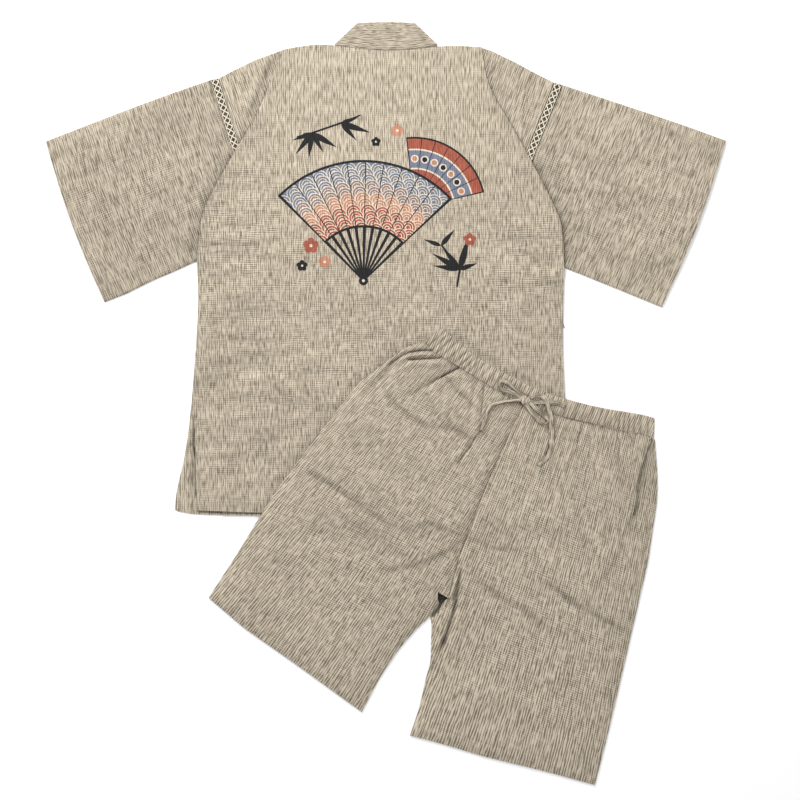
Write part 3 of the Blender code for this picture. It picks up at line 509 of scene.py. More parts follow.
# The gap beside the back's edge, at the slit and below the hem: line, half width and darkness
FRONT_SHADOWS = {
    "left": [
        ([(-305.4, -36), (-307.2, -50), (-307.6, -66), (-306, -86)], 3.0, 0.96),
        ([(-305.6, -70), (-305.2, -110), (-304, -152)], 2.2, 0.7),
        ([(-314.4, -94), (-314.8, -132)], 1.6, 0.4),
        ([(-322, -84), (-314, -66), (-308, -50)], 8, 0.26),
        ([(-302, -173.5), (-250, -175), (-190, -176.4)], 2.4, 0.96),
    ],
    "right": [([(-268, -175.2), (-230, -175.6), (-190, -176.4)], 2.4, 0.96)],
}
for side, offset in (("left", 0.4), ("right", 0.7)):
    node = "front_" + side
    skin = skin_of(frame["nodes"][node].data)
    outline = spliced(outline_of(node), metres(FRONT_HEM[side]))[0]
    shadows = FRONT_SHADOWS[side]
    piece = lay(
        node + "_cloth", eased(outline), FRONT_STEP, *resting(skin), [body_crepe], 0.0, offset,
        crease_lines(shadows, 3 * MM), None, lambda plan: shaded(plan, shadows),
    )
    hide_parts(node)

# The neckband is one long strip of the crepe, folded double and sewn round the neck. It runs up
# the left front, turns over in a slanted fold, shows round the back of the neck, turns again,
# and runs down the right front. Rows in millimetres: seam edge x, y, free edge x, y.
BAND_ROWS = [(81.5, 573, 44.5, 608), (76, 530, 33, 548), (62, 480, 23, 500), (40, 444, 5, 469),
             (-27, 351, -62, 376), (-228, 72, -263, 97)]
NAPE_ROWS = [(-81.5, 573, -44.5, 608), (-39, 567, -20, 609.5), (4, 564, 2, 610), (51, 567, 25, 609.5),
             (81.5, 573, 44.5, 608)]
BAND_STEP = 8 * MM
NAPE_LOW, NAPE_TOP = 1.4 * MM, 3.3 * MM
TURN_OUT, FOLD_LOW, FOLD_TOP = 1.5 * MM, 1.2 * MM, 1.9 * MM  # the slanted folds at the shoulders
BAND_WIDE = 0.05  # its width along the grain
BAND_OFFSET, BAND_CRIMP, BAND_SHADE = 1.1, 0.3, 0.93
BAND_SHARES = (0.0, 0.03, 0.08, 0.16, 0.3, 0.5, 0.7, 0.84, 0.92, 0.97, 1.0)
band_crepe = crepe("band_crepe", LINEN_DARK, LINEN_MIDDLE, LINEN_LIGHT, 0.5)


def unit(vector):
    """The vector at length 1."""
    return vector / np.linalg.norm(vector)


def rows_between(rows, step):
    """The table's rows in metres, with rows added between them about a step apart."""
    rows = [np.array(row, float) * MM for row in rows]
    out = []
    for start, end in zip(rows, rows[1:]):
        count = max(1, round(float(np.linalg.norm(end[:2] - start[:2])) / step))
        out += [start + (end - start) * k / count for k in range(count)]
    return out + [rows[-1]]


def strip(rows, outer, inner):
    """Sections of a strip: each is the points of its outer face and of its inner face."""
    sections = []
    for row in rows:
        plan = [row[:2] * (1 - s) + row[2:] * s for s in BAND_SHARES]
        sections.append((outer(plan), inner(plan)))
    return sections


def lifted(plan, height):
    """Plan points with their heights."""
    return [(x, y, z) for (x, y), z in zip(plan, np.broadcast_to(height, len(plan)))]


def loft(sections):
    """Points and faces of a closed strip through sections of matching points."""
    size = len(sections[0][0])
    ring = 2 * size
    points = [p for face, other in sections for p in list(face) + list(other)[::-1]]
    faces = []
    for row in range(len(sections) - 1):
        for k in range(ring):
            a, b = row * ring + k, row * ring + (k + 1) % ring
            faces.append((a, b, b + ring, a + ring))
    for first, turn in ((0, -1), ((len(sections) - 1) * ring, 1)):
        for k in range(size - 1):
            cap = (first + k, first + k + 1, first + ring - 2 - k, first + ring - 1 - k)
            faces.append(cap[::turn])
    return np.array(points), faces


def outward(points, faces):
    """The faces, all turned so that a closed mesh's sides look outward."""
    volume = 0.0
    for face in faces:
        a = points[face[0]]
        for k in range(1, len(face) - 1):
            volume += float(np.dot(a, np.cross(points[face[k]], points[face[k + 1]])))
    return faces if volume > 0 else [tuple(face)[::-1] for face in faces]


CROWN = np.array([0.45, 0.75, 0.94, 1.0, 1.0, 0.97, 1.0, 1.0, 0.94, 0.75, 0.4])
band_skin = skin_of(frame["nodes"]["neckband"].data)


def arm(rows):
    """One arm of the band, its outer face to the floor."""
    def below(plan):
        return lifted(plan, heights(band_skin, plan, above=False) + AIR)

    def over(plan):
        return lifted(plan, heights(band_skin, plan, above=False) + AIR + CLOTH)

    return strip(rows_between(rows, BAND_STEP), below, over)


nape = strip(
    rows_between(NAPE_ROWS, 0.5 * BAND_STEP),
    lambda plan: lifted(plan, NAPE_LOW + (NAPE_TOP - NAPE_LOW) * CROWN),
    lambda plan: lifted(plan, NAPE_LOW),
)
left_arm = arm([(-a, b, -c, d) for a, b, c, d in BAND_ROWS])[::-1]
right_arm = arm(BAND_ROWS)
folds = []
for turned, sign in ((NAPE_ROWS[0], -1.0), (NAPE_ROWS[-1], 1.0)):
    row = np.array(turned) * MM
    run = unit(row[2:] - row[:2])
    out = sign * TURN_OUT * np.array([run[1], -run[0]])
    plan = [row[:2] * (1 - s) + row[2:] * s for s in BAND_SHARES]
    folds.append((lifted([p + out for p in plan], FOLD_TOP), lifted([p + 0.3 * out for p in plan], FOLD_LOW)))
band_points, band_faces = loft(left_arm + folds[:1] + nape + folds[1:] + right_arm)
band_ring = 2 * len(BAND_SHARES)
band_run = np.repeat(np.arange(len(band_points) // band_ring), band_ring) * 0.5 * BAND_STEP
band_side = np.tile(list(BAND_SHARES) + list(BAND_SHARES)[::-1], len(band_points) // band_ring) * BAND_WIDE
neckband = finish_piece(
    "neckband_cloth", band_points, outward(band_points, band_faces), [band_crepe],
    np.column_stack([band_side, band_run, np.full(len(band_points), BAND_OFFSET)]), BAND_CRIMP, BAND_SHADE,
)
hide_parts("neckband")

# Each sleeve is one piece, folded along its top edge and sewn into a tube that is open at the
# lace and at the cuff. The cuff is turned in by 20 mm and stitched. Its streaks run along the
# cuff. The edges are in millimetres, from the lace to the cuff.
SLEEVE_TOP = {
    "left": [(-281, 517), (-345, 495), (-410, 471), (-480, 444), (-544, 419)],
    "right": [(283, 509), (350, 487), (422, 463), (484, 442), (544, 420)],
}
SLEEVE_UNDER = {
    "left": [(-205, 271), (-302, 228), (-334, 213), (-372, 197), (-416, 175), (-450, 162)],
    "right": [(184, 261), (285, 217), (318, 204), (360, 187), (404, 169), (441, 154)],
}
SLEEVE_DEEP = 0.27  # from the lace to the cuff
CUFF_BOW = 6 * MM
SHADE_WIDE, SHADE_NARROW = 16 * MM, 2.6 * MM  # how far the body's edge shades the sleeve
CUFF_TURN = 20 * MM
SLEEVE_ROWS = 64
SLEEVE_SHADE = {"left": 0.9, "right": 0.97}  # the left one lies further from the light
SLEEVE_OFFSET = {"left": 1.7, "right": 2.3}  # each is cut from its own place in the cloth
SLEEVE_FOLD = 1.6 * MM  # how far the inner side stays from the folded edges
SLEEVE_FREE, EDGE_SHARE = 0.04, 0.04  # how soon the waves set in, off the body and off the edges
SLEEVE_COLUMNS = 62
# Soft waves of a sleeve: rise in millimetres, length, width, turn (mirrored on the right) and seed
SLEEVE_RIPPLES = ((0.9, 0.07, 0.05, 0.3, 3.0), (0.35, 0.05, 0.012, 0.35, 5.0))
HEM_SUNK, SUNK_HALF = 0.35 * MM, 0.004  # the cuff's stitched groove; its half width is a share
HEM_RISE, END_ROUND = 0.3 * MM, 0.35 * MM
SHADED_WIDE, SHADED_NARROW, SHADED_WAVES = 0.2, 0.34, 0.18
SLEEVE_CREASES = {
    "left": [
        ([(-330, 440), (-352, 372), (-350, 300)], 14, 1.3),
        ([(-455, 400), (-430, 300), (-418, 215)], 16, 1.0),
        ([(-250, 330), (-300, 300), (-352, 240)], 12, 1.6),
        ([(-262, 400), (-330, 362), (-400, 330)], 15, 0.9),
    ],
    "right": [
        ([(318, 450), (352, 380), (372, 290)], 14, 1.2), ([(452, 400), (436, 300), (420, 214)], 16, 1.1),
        ([(262, 330), (312, 290), (356, 236)], 12, 1.5), ([(300, 420), (380, 352), (430, 330)], 15, 0.8),
    ],
}
SLEEVE_CRIMPS = [(-262, 300, 70, 0.6), (-420, 330, 90, 0.35), (250, 300, 70, 0.6), (430, 300, 80, 0.3)]


def share_of(line, share):
    """The point at a share of a line's length."""
    line = np.array(line, float)
    reach = np.r_[0, np.cumsum(np.linalg.norm(np.diff(line, axis=0), axis=1))]
    return np.array([np.interp(share * reach[-1], reach, line[:, k]) for k in (0, 1)])


def ripple(plan, long, short, turn=0.0, seed=0.0):
    """Soft random waves from 0 to 1, long one way and short the other, turned by an angle."""
    c, s = math.cos(turn), math.sin(turn)
    waves = [noise.noise(Vector(((c * x + s * y) / long, (c * y - s * x) / short, seed))) for x, y in plan]
    return np.clip(0.5 + 0.7 * np.array(waves), 0, 1)


def patches(plan, table, ground):
    """A share that rises smoothly from ground in round patches: x, y, radius and amount."""
    total = np.full(len(plan), float(ground))
    for x, y, radius, amount in table:
        gap = np.hypot(plan[:, 0] / MM - x, plan[:, 1] / MM - y) / radius
        total += amount * np.exp(-gap ** 2)
    return np.clip(total, 0, 1.2)


def across_sleeve(side, share):
    """Gives the places from the top edge, at 0, to the under edge, at 1, so far towards the cuff."""
    top, under = share_of(SLEEVE_TOP[side], share) * MM, share_of(SLEEVE_UNDER[side], share) * MM
    run = unit(under - top)
    out = np.array([-run[1], run[0]]) * (1.0 if side == "right" else -1.0)
    bow = CUFF_BOW * share ** 2
    return lambda u: top + (under - top) * u + out * bow * math.sin(math.pi * u)


def hollow(outer, inner):
    """Points and faces of a tube with a wall, from the rings of its outer and its inner side."""
    rows, size = len(outer), len(outer[0])
    points = np.array([p for ring in outer + inner for p in ring])
    faces = []
    for first, flip in ((0, 1), (rows * size, -1)):
        for row in range(rows - 1):
            for k in range(size):
                a, b = first + row * size + k, first + row * size + (k + 1) % size
                faces.append((a, b, b + size, a + size)[::flip])
    for row, flip in ((0, -1), (rows - 1, 1)):
        for k in range(size):
            a, b = row * size + k, row * size + (k + 1) % size
            faces.append((a, b, b + rows * size, a + rows * size)[::flip])
    return points, outward(points, faces)


body_outline = outline_of("back")
hem_share = 1 - CUFF_TURN / SLEEVE_DEEP
for side, turn in (("left", 1.0), ("right", -1.0)):
    skin = skin_of(frame["nodes"]["sleeve_" + side].data)
    length = float(np.linalg.norm(share_of(SLEEVE_TOP[side], 0.5) - share_of(SLEEVE_UNDER[side], 0.5))) * MM
    hem_rows = [hem_share - 1.5 * SUNK_HALF, hem_share, hem_share + 1.5 * SUNK_HALF]
    shares = sorted([*np.linspace(0, 1, SLEEVE_ROWS), *hem_rows])
    outer, inner, grain = [], [], []
    upper = np.linspace(0.004, 0.996, SLEEVE_COLUMNS)
    lower = np.linspace(0.996, 0.004, SLEEVE_COLUMNS // 2)
    for share in shares:
        place = across_sleeve(side, share)
        plan = np.array([place(u) for u in upper])
        high = heights(skin, plan) - AIR
        free = np.clip(distance_to(plan[:, 0], plan[:, 1], body_outline, closed=True) / SLEEVE_FREE, 0, 1)
        free *= ~within(plan[:, 0], plan[:, 1], body_outline)
        wave = creased(plan, SLEEVE_CREASES[side])
        for rise, long, short, lean, seed in SLEEVE_RIPPLES:
            wave += rise * MM * ripple(plan, long, short, lean * turn, seed)
        edge = np.clip(np.minimum(upper, 1 - upper) / EDGE_SHARE, 0, 1)
        high = np.maximum(high + free * edge * wave, AIR + CLOTH)
        groove = HEM_SUNK * math.exp(-((share - hem_share) / SUNK_HALF) ** 2)
        hem = HEM_RISE if share > hem_share else 0.0
        high = high - free * groove + free * hem
        round_off = END_ROUND * (share in (shares[0], shares[-1]))
        above, wall = [z - round_off for z in high], SLEEVE_FOLD / length
        below = [max(z - CLOTH, AIR) for z in high]
        for rings, levels, ground, inset in ((outer, above, AIR, 0.0), (inner, below, AIR + CLOTH, wall)):
            rings.append(
                [(*p, z) for p, z in zip(plan, levels)] + [(*place(1 - inset), 0.5 * high[-1])]
                + [(*place(u), ground) for u in lower] + [(*place(inset), 0.5 * high[0])]
            )
        along = [u * length for u in upper] + [length] + [length + (1 - u) * length for u in lower] + [0.0]
        grain += [(share * SLEEVE_DEEP, a, SLEEVE_OFFSET[side]) for a in along]
    points, faces = hollow(outer, inner)
    plan = points[:, :2]
    crimp = patches(plan, SLEEVE_CRIMPS, 0.45)
    # Painted shade: the sleeve is darker beside the body's edge, which lies over it, and in soft waves across
    # it.
    gap = distance_to(plan[:, 0], plan[:, 1], body_outline, closed=True)
    waves = ripple(plan, 0.08, 0.016, 0.3 * turn, 3.3) - 0.5
    body_shadow = SHADED_WIDE * np.exp(-(gap / SHADE_WIDE) ** 2)
    body_shadow += SHADED_NARROW * np.exp(-(gap / SHADE_NARROW) ** 2) + SHADED_WAVES * waves
    sleeve = finish_piece(
        "sleeve_" + side + "_cloth", points, faces, [body_crepe], np.array(grain * 2), crimp,
        SLEEVE_SHADE[side] * (1 - body_shadow),
    )
    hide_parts("sleeve_" + side)

# A strip of cream cotton lace joins each sleeve to the body all round the armhole. Its upper
# half shows: two edge cords with pairs of threads crossing between them, over the pressed seam
# edges, which lie in its shade. Its lower half is underneath, drawn as a flat strip in painted shade.
LACE_INNER = {"left": [(-267, 520), (-192, 276)], "right": [(268, 513), (171, 266)]}
LACE_OUTER = {"left": [(-281, 517), (-205, 271)], "right": [(283, 509), (184, 261)]}
LACE_REPEAT = 22 * MM
LACE_HALF = 5.4 * MM
LACE_LEVEL = 1.95 * MM
LACE_ROUND = 0.5 * MM  # radius of a thread
LACE_WAVE, LACE_OVER = 0.3 * MM, 0.35 * MM  # how the edges wave, and how threads rise to cross
LACE_PAIR, LACE_END = 0.026, 0.03  # half a pair's spacing, and how far it stops short, in repeats
lace_thread = bpy.data.materials.new("lace_thread")
lace_thread.use_nodes = True
lace_tree = lace_thread.node_tree
lace_shader = lace_tree.nodes["Principled BSDF"]
lace_grain = add(lace_tree, "ShaderNodeTexCoord").outputs["Object"]
lace_twist = add(lace_tree, "ShaderNodeTexNoise", {"Vector": lace_grain, "Scale": 2600.0, "Detail": 1.0})
lace_ramp = add(lace_tree, "ShaderNodeValToRGB", {"Fac": lace_twist.outputs["Fac"]})
lace_ramp.color_ramp.elements[0].position = 0.3
lace_ramp.color_ramp.elements[0].color = (0.62, 0.55, 0.42, 1.0)
lace_ramp.color_ramp.elements[1].position = 0.65
lace_ramp.color_ramp.elements[1].color = (0.84, 0.78, 0.65, 1.0)
lace_tree.links.new(lace_ramp.outputs["Color"], lace_shader.inputs["Base Color"])
lace_height = {"Height": lace_twist.outputs["Fac"], "Strength": 0.5, "Distance": 0.0003}
lace_bump = add(lace_tree, "ShaderNodeBump", lace_height)
lace_tree.links.new(lace_bump.outputs["Normal"], lace_shader.inputs["Normal"])
lace_shader.inputs["Roughness"].default_value = 0.8
SHADE_LIGHT, SHADE_DARK = (0.13, 0.105, 0.075, 1.0), (0.05, 0.038, 0.026, 1.0)
seam_shade = crepe("seam_shade", SHADE_DARK, SHADE_DARK, SHADE_LIGHT, 0.3)


def rods(lines, radius, sides=6):
    """Points and faces of closed round threads along lines of points."""
    points, faces = [], []
    for line in lines:
        line = [np.array(p, float) for p in line]
        first = len(points)
        for k, here in enumerate(line):
            run = line[min(k + 1, len(line) - 1)] - line[max(k - 1, 0)]
            side_way = np.cross(run, (0.0, 0.0, 1.0))
            side_way /= np.linalg.norm(side_way) + 1e-12
            up = np.cross(side_way, run)
            up /= np.linalg.norm(up)
            tip = 0.45 if k in (0, len(line) - 1) else 1.0
            for j in range(sides):
                a = 2 * math.pi * j / sides
                points.append(here + tip * radius * (math.cos(a) * side_way + math.sin(a) * up))
        for k in range(len(line) - 1):
            for j in range(sides):
                a, b = first + k * sides + j, first + k * sides + (j + 1) % sides
                faces.append((a, a + sides, b + sides, b))
        faces.append(tuple(first + j for j in range(sides)))
        last = first + (len(line) - 1) * sides
        faces.append(tuple(last + j for j in reversed(range(sides))))
    return np.array(points), faces


for side in ("left", "right"):
    pairs = zip(LACE_INNER[side], LACE_OUTER[side])
    ends = [0.5 * MM * (np.array(a, float) + np.array(b, float)) for a, b in pairs]
    length = float(np.linalg.norm(ends[1] - ends[0]))
    run = (ends[1] - ends[0]) / length
    across = np.array([-run[1], run[0]])
    repeats = round(length / LACE_REPEAT)

    def lace_point(a, b, z):
        return (*(ends[0] + run * a * length / repeats + across * b), LACE_LEVEL + z)

    lines = []
    for edge in (-1.0, 1.0):
        places = np.linspace(0.0, repeats, 14 * repeats + 1)
        lines.append([
            lace_point(a, edge * (LACE_HALF + LACE_WAVE * math.sin(5 * math.pi * a)), 0.0) for a in places
        ])
    for start in (0.0, 0.5):
        for shift in (-LACE_PAIR, LACE_PAIR):
            line = []
            for a in np.linspace(LACE_END, repeats - LACE_END, 20 * repeats + 1):
                swing = math.asin(math.sin(2 * math.pi * (a + start + shift))) * 2 / math.pi
                over = LACE_OVER * math.cos(2 * math.pi * (2 * a + start))
                line.append(lace_point(a, (LACE_HALF - LACE_ROUND) * swing, over))
            lines.append(line)
    points, faces = rods(lines, LACE_ROUND)
    lace = finish_piece("lace_" + side + "_threads", points, faces, [lace_thread], points, 0.0, 1.0, None, 70)
    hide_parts("lace_back_" + side)

    # The lower half: a flat strip in seam_shade, a dark crepe that paints the shade seen through the lace's
    # holes.
    node = "lace_front_" + side
    under = lay(
        node + "_strip", outline_of(node), 4 * MM, lambda plan, faces: np.full(len(plan), 1.1 * MM),
        lambda plan, faces: np.full(len(plan), AIR), [seam_shade], 0.3, 2.9,
    )
    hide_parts(node)

# The back is one wide piece, laid over the fronts and the sleeves' ends. From each shoulder to
# the underarm the cloth is folded into a long pleat, whose edge lies free over the shoulder.
# The hem is turned up by 20 mm and stitched. The edges of the pleats are in millimetres.
PLEAT = {
    "left": [(-165, 565), (-176, 538), (-202, 469), (-241, 404), (-289, 318), (-297, 285), (-302, 228)],
    "right": [
        (153, 569), (157, 536), (163, 512), (179, 479), (197, 451), (215, 419), (229, 394), (265, 324),
        (282, 286), (285, 217),
    ],
}
PLEAT_TUCK = 12 * MM
PLEAT_LIFT, PLEAT_ROLL = 1.6 * MM, 7 * MM
BACK_STEP = 4.4 * MM
BACK_WALL = 0.9 * MM
SHOULDER_LEVEL = 1.4 * MM
BACK_CRIMPS = [(-230, 300, 110, 0.7), (-200, 130, 150, 0.4), (120, 130, 190, 0.55), (240, 250, 90, 0.6),
               (-20, 40, 170, 0.4), (-250, -60, 120, 0.35)]
# Painted light: two broad patches round the upper middle, where the back is painted lighter: x, y, radius and
# amount.
BACK_PAINTED_LIGHT = [(0, 470, 210, 0.075), (20, 300, 190, 0.03)]
BACK_CREASES = [
    ([(-296, 205), (-258, 212), (-222, 226)], 9, 1.3), ([(-298, 172), (-250, 178), (-205, 168)], 10, 1.0),
    ([(-300, 120), (-256, 112), (-214, 118)], 9, 0.9), ([(-301, 70), (-262, 78), (-232, 70)], 9, 0.8),
    ([(-298, 20), (-250, 26), (-190, 14)], 12, 0.8), ([(284, 200), (244, 214), (200, 212)], 9, 1.2),
    ([(282, 150), (240, 158), (190, 148)], 10, 0.9), ([(280, 96), (236, 92), (196, 102)], 9, 0.8),
    ([(-150, 210), (-60, 168), (20, 172)], 16, 0.8), ([(60, 186), (130, 160), (190, 178)], 15, 0.8),
    ([(-210, 330), (-150, 280), (-110, 200)], 18, 0.8), ([(-190, -20), (-160, -90), (-170, -160)], 16, 0.9),
    ([(-110, 520), (-118, 440), (-130, 380)], 18, 0.7), ([(110, 520), (122, 450), (150, 380)], 18, 0.7),
    ([(-296, 250), (-262, 262), (-236, 286)], 9, 1.2), ([(270, 250), (240, 262), (216, 290)], 9, 1.1),
]
# Narrow shade along the pleats' free edges, on the back and on the shoulders under it
BACK_SHADOWS = [(PLEAT["left"][2:], 2.4, 0.3), (PLEAT["right"][2:], 2.4, 0.3)]
# Soft shade in the cross creases, and beside the shorts, which lie on the back
WAVE_SHADE = 0.3
SHADE_RIPPLES = ((1.0, 0.08, 0.013, 0.1, 7.0), (0.6, 0.05, 0.02, -0.2, 8.0))
BACK_WAVES = [(-250, 300, 90, 0.7), (-220, 40, 120, 0.9), (-240, -80, 100, 0.7), (240, 230, 90, 0.6),
              (0, -60, 140, 0.5)]
BACK_SOFT_SHADOWS = [
    ([(-292, 346), (-240, 352), (-200, 352)], 3.5, 0.24), ([(-296, 327), (-240, 333)], 3, 0.2),
    ([(-297, 305), (-235, 310), (-190, 306)], 3.5, 0.22), ([(-298, 281), (-240, 285), (-200, 283)], 3, 0.3),
    ([(-298, 252), (-236, 256), (-196, 252)], 4, 0.3), ([(-298, 240), (-250, 243)], 3, 0.2),
    ([(-283, 143), (-220, 150), (-150, 161)], 3.5, 0.28), ([(-283, 134), (-230, 139)], 3, 0.22),
    ([(-290, 96), (-220, 104), (-160, 100)], 4, 0.18), ([(-288, 60), (-230, 66)], 4, 0.18),
    ([(286, 262), (240, 268), (196, 262)], 4, 0.22), ([(284, 236), (236, 238), (190, 246)], 4, 0.22),
    ([(286, 196), (240, 190), (180, 196)], 5, 0.16), ([(284, 160), (244, 166)], 5, 0.14),
    ([(93, 117), (66, 99), (18, 87), (-23, 48), (-76, -9), (-138, -83), (-205, -176)], 15, 0.17),
    ([(93, 117), (140, 88), (196, 52), (286, 10)], 8, 0.18),
]
SHOULDER_SHADOWS = {
    "left": [
        ([(-172, 560), (-184, 543), (-194, 525), (-201, 506), (-208, 486), (-217, 468)], 8, 0.38),
        ([(-190, 505), *PLEAT["left"][2:4]], 3.4, 0.55), ([(-204, 480), (-216, 470), (-236, 420)], 8, 0.18),
    ],
    "right": [(PLEAT["right"][1:7], 3.4, 0.5), ([(160, 556), (166, 530), (176, 506)], 9, 0.22)],
}
HEM_GROOVE = 1.6 * MM
# Soft waves of the back: rise in millimetres, length, width, turn and seed
BACK_RIPPLES = ((0.9, 0.11, 0.08, 0.2, 1.0), (0.45, 0.06, 0.013, 0.05, 2.0), (0.4, 0.014, 0.09, -0.04, 4.0))
SHORTS_EDGE_ROUNDS = 24  # how softly the waves die out towards the shorts
BACK_EDGE = 0.02  # and how near the cut edge
GROOVE_SHARE = 0.25
hem_line = metres([(-303, -151), (-198, -155), (-60, -156), (80, -156), (200, -156), (288, -155)])
pleat_edges = {side: metres(PLEAT[side]) for side in PLEAT}
back_outline = body_outline
shoulder_stretch = {}
for side, order in (("left", 1), ("right", -1)):
    back_outline, shoulder_stretch[side] = spliced(back_outline, pleat_edges[side][::order])

shorts_skin = skin_of(*[
    node.data for name, node in frame["nodes"].items() if name.startswith(("shorts", "waistband"))
])
back_skin = skin_of(frame["nodes"]["back"].data)


def uncovered(plan, faces):
    """1 where nothing lies on the jacket, fading to 0 under the shorts."""
    bare = [shorts_skin.ray_cast(Vector((x, y, 1.0)), Vector((0, 0, -1)))[0] is None for x, y in plan]
    return np.clip(2 * smoothed(np.array(bare, float), faces, SHORTS_EDGE_ROUNDS) - 1, 0, 1)


def back_top(plan, faces):
    """Upper face of the back: over all that it lies on, with the cloth's own soft unevenness."""
    level = smoothed(heights(back_skin, plan), faces, 5) - AIR
    edge = np.clip(distance_to(plan[:, 0], plan[:, 1], back_outline, closed=True) / BACK_EDGE, 0.25, 1)
    broad, crimped, fine = (rise * MM * ripple(plan, *wave) for rise, *wave in BACK_RIPPLES)
    wave = broad + patches(plan, BACK_CRIMPS, 0.35) * crimped + fine + creased(plan, BACK_CREASES)
    groove = HEM_GROOVE * np.clip(1 - distance_to(plan[:, 0], plan[:, 1], hem_line) / HEM_GROOVE, 0, 1)
    bare = uncovered(plan, faces)
    gaps = [distance_to(plan[:, 0], plan[:, 1], line) for line in pleat_edges.values()]
    lift = sum(np.exp(-(gap / PLEAT_ROLL) ** 2) for gap in gaps)
    return level + bare * (edge * wave) - GROOVE_SHARE * bare * groove + PLEAT_LIFT * lift


def back_low(plan, faces):
    """Under face of the back, a wall below its upper one."""
    return heights(back_skin, plan) - BACK_WALL


# The print stands in for the photographed one, which isn't copied: two folding fans with wave
# scales, bamboo leaves and plum blossoms, in black, slate, mauve, coral, brick and cream ink.
# Each shape is an ink and an outline in millimetres. A later shape lies over an earlier one.
INKS = {"black": (0.012, 0.012, 0.013), "slate": (0.150, 0.165, 0.215), "mauve": (0.215, 0.155, 0.155),
        "coral": (0.43, 0.20, 0.13), "brick": (0.30, 0.082, 0.05), "cream": (0.62, 0.55, 0.43)}
ink_cloths = [
    crepe("ink_" + name, tuple(0.72 * c for c in tint) + (1.0,), tint + (1.0,),
          tuple(min(1.0, 1.22 * c + 0.004) for c in tint) + (1.0,), 0.5)
    for name, tint in INKS.items()
]
ink_number = {name: k + 1 for k, name in enumerate(INKS)}
print_shapes = []


def ink(name, outline, inside=None):
    """Adds one printed shape, kept inside another outline if one is given."""
    print_shapes.append((ink_number[name], [np.array(p, float) * MM for p in outline], inside))


def around(centre, radius, start=0.0, end=360.0, count=20):
    """Points of an arc, its angles in degrees."""
    angles = np.radians(np.linspace(start, end, count, endpoint=end - start < 360))
    return [(centre[0] + radius * math.cos(a), centre[1] + radius * math.sin(a)) for a in angles]


def fan_leaf(pivot, inner, outer, start, end):
    """Outline of a folding fan's paper leaf."""
    count = max(12, int(outer * math.radians(end - start) / 5))
    return around(pivot, outer, start, end, count) + around(pivot, inner, end, start, count)


def ways(angle):
    """The way that an angle in degrees points, and the way to its left."""
    run = np.array([math.cos(math.radians(angle)), math.sin(math.radians(angle))])
    return run, np.array([-run[1], run[0]])


def bar(pivot, angle, inner, outer, narrow, wide):
    """A tapered bar that points away from the pivot."""
    run, side = ways(angle)
    pivot = np.array(pivot, float)
    return [pivot + run * inner + side * narrow / 2, pivot + run * inner - side * narrow / 2,
            pivot + run * outer - side * wide / 2, pivot + run * outer + side * wide / 2]


def leaf(base, angle, length, width):
    """A bamboo leaf, widest in its first third and drawn out to a point."""
    run, side = ways(angle)
    shares = (0.0, 0.08, 0.2, 0.35, 0.55, 0.78, 1.0)
    swell = (0.0, 0.55, 0.9, 1.0, 0.8, 0.4, 0.0)
    base = np.array(base, float)
    one = [base + run * length * s + side * width * 0.5 * w for s, w in zip(shares, swell)]
    two = [base + run * length * s - side * width * 0.5 * w for s, w in zip(shares, swell)]
    return one + two[-2:0:-1]


# The small fan, behind: its pivot, the radii of its leaf and the angles it opens between
SMALL_FAN = ((46, 312), 46, 112, 14, 96)
pivot, inner, outer, start, end = SMALL_FAN
for angle in np.linspace(start, end, 8):
    ink("black", bar(pivot, angle, 0, inner + 4, 1.6, 3.0))
ink("black", fan_leaf(pivot, inner - 2, outer + 2, start - 1.2, end + 1.2))
ink("brick", fan_leaf(pivot, inner + 1, outer - 1, start, end))
ink("cream", fan_leaf(pivot, inner + 16, outer - 17, start, end))
ink("slate", fan_leaf(pivot, inner + 18.5, outer - 19.5, start, end))
for k, angle in enumerate(np.linspace(start + 6, end - 6, 7)):
    spot = around(pivot, 0.5 * (inner + outer), angle, angle + 1, 2)[0]
    ink("cream", around(spot, 6.2, count=18))
    ink("black" if k % 2 else "coral", around(spot, 4.2, count=16))
for angle in np.linspace(start, end, 8)[1:-1]:
    ink("black", bar(pivot, angle, inner, outer, 0.9, 1.2))

# The large fan, in front, with rows of wave scales
LARGE_FAN = ((-36, 196), 88, 190, 44, 134)
pivot, inner, outer, start, end = LARGE_FAN
WAVE_RINGS = ((12.6, "cream"), (11.3, None), (8.4, "cream"), (7.2, None), (4.4, "cream"), (3.2, None))
WAVE_INKS = ("slate",) * 3 + ("mauve",) * 2 + ("coral",) * 2 + ("brick",) * 4
for angle in np.linspace(start, end, 11):
    ink("black", bar(pivot, angle, -7, inner + 4, 2.4, 5.4))
ink("black", fan_leaf(pivot, inner - 3, outer + 3, start - 1.4, end + 1.4))
paper = [np.array(p) * MM for p in fan_leaf(pivot, inner + 1, outer - 1, start, end)]
ink("slate", fan_leaf(pivot, inner + 1, outer - 1, start, end))
for row, radius in enumerate(np.arange(outer - 6, inner - 10, -9.6)):
    pitch = math.degrees(24.6 / radius)
    for angle in np.arange(start - (0.5 * pitch if row % 2 else 0.0), end + pitch, pitch):
        spot = around(pivot, radius - 6, angle, angle + 1, 2)[0]
        for size, colour in WAVE_RINGS:
            colour = colour or WAVE_INKS[min(row, len(WAVE_INKS) - 1)]
            ink(colour, around(spot, size, count=18 if size > 5 else 12), paper)
for angle in np.linspace(start, end, 11)[1:-1]:
    ink("black", bar(pivot, angle, inner, outer, 1.2, 1.5))
ink("black", around(pivot, 7.5, count=18))
ink("cream", around(pivot, 2.4, count=10))

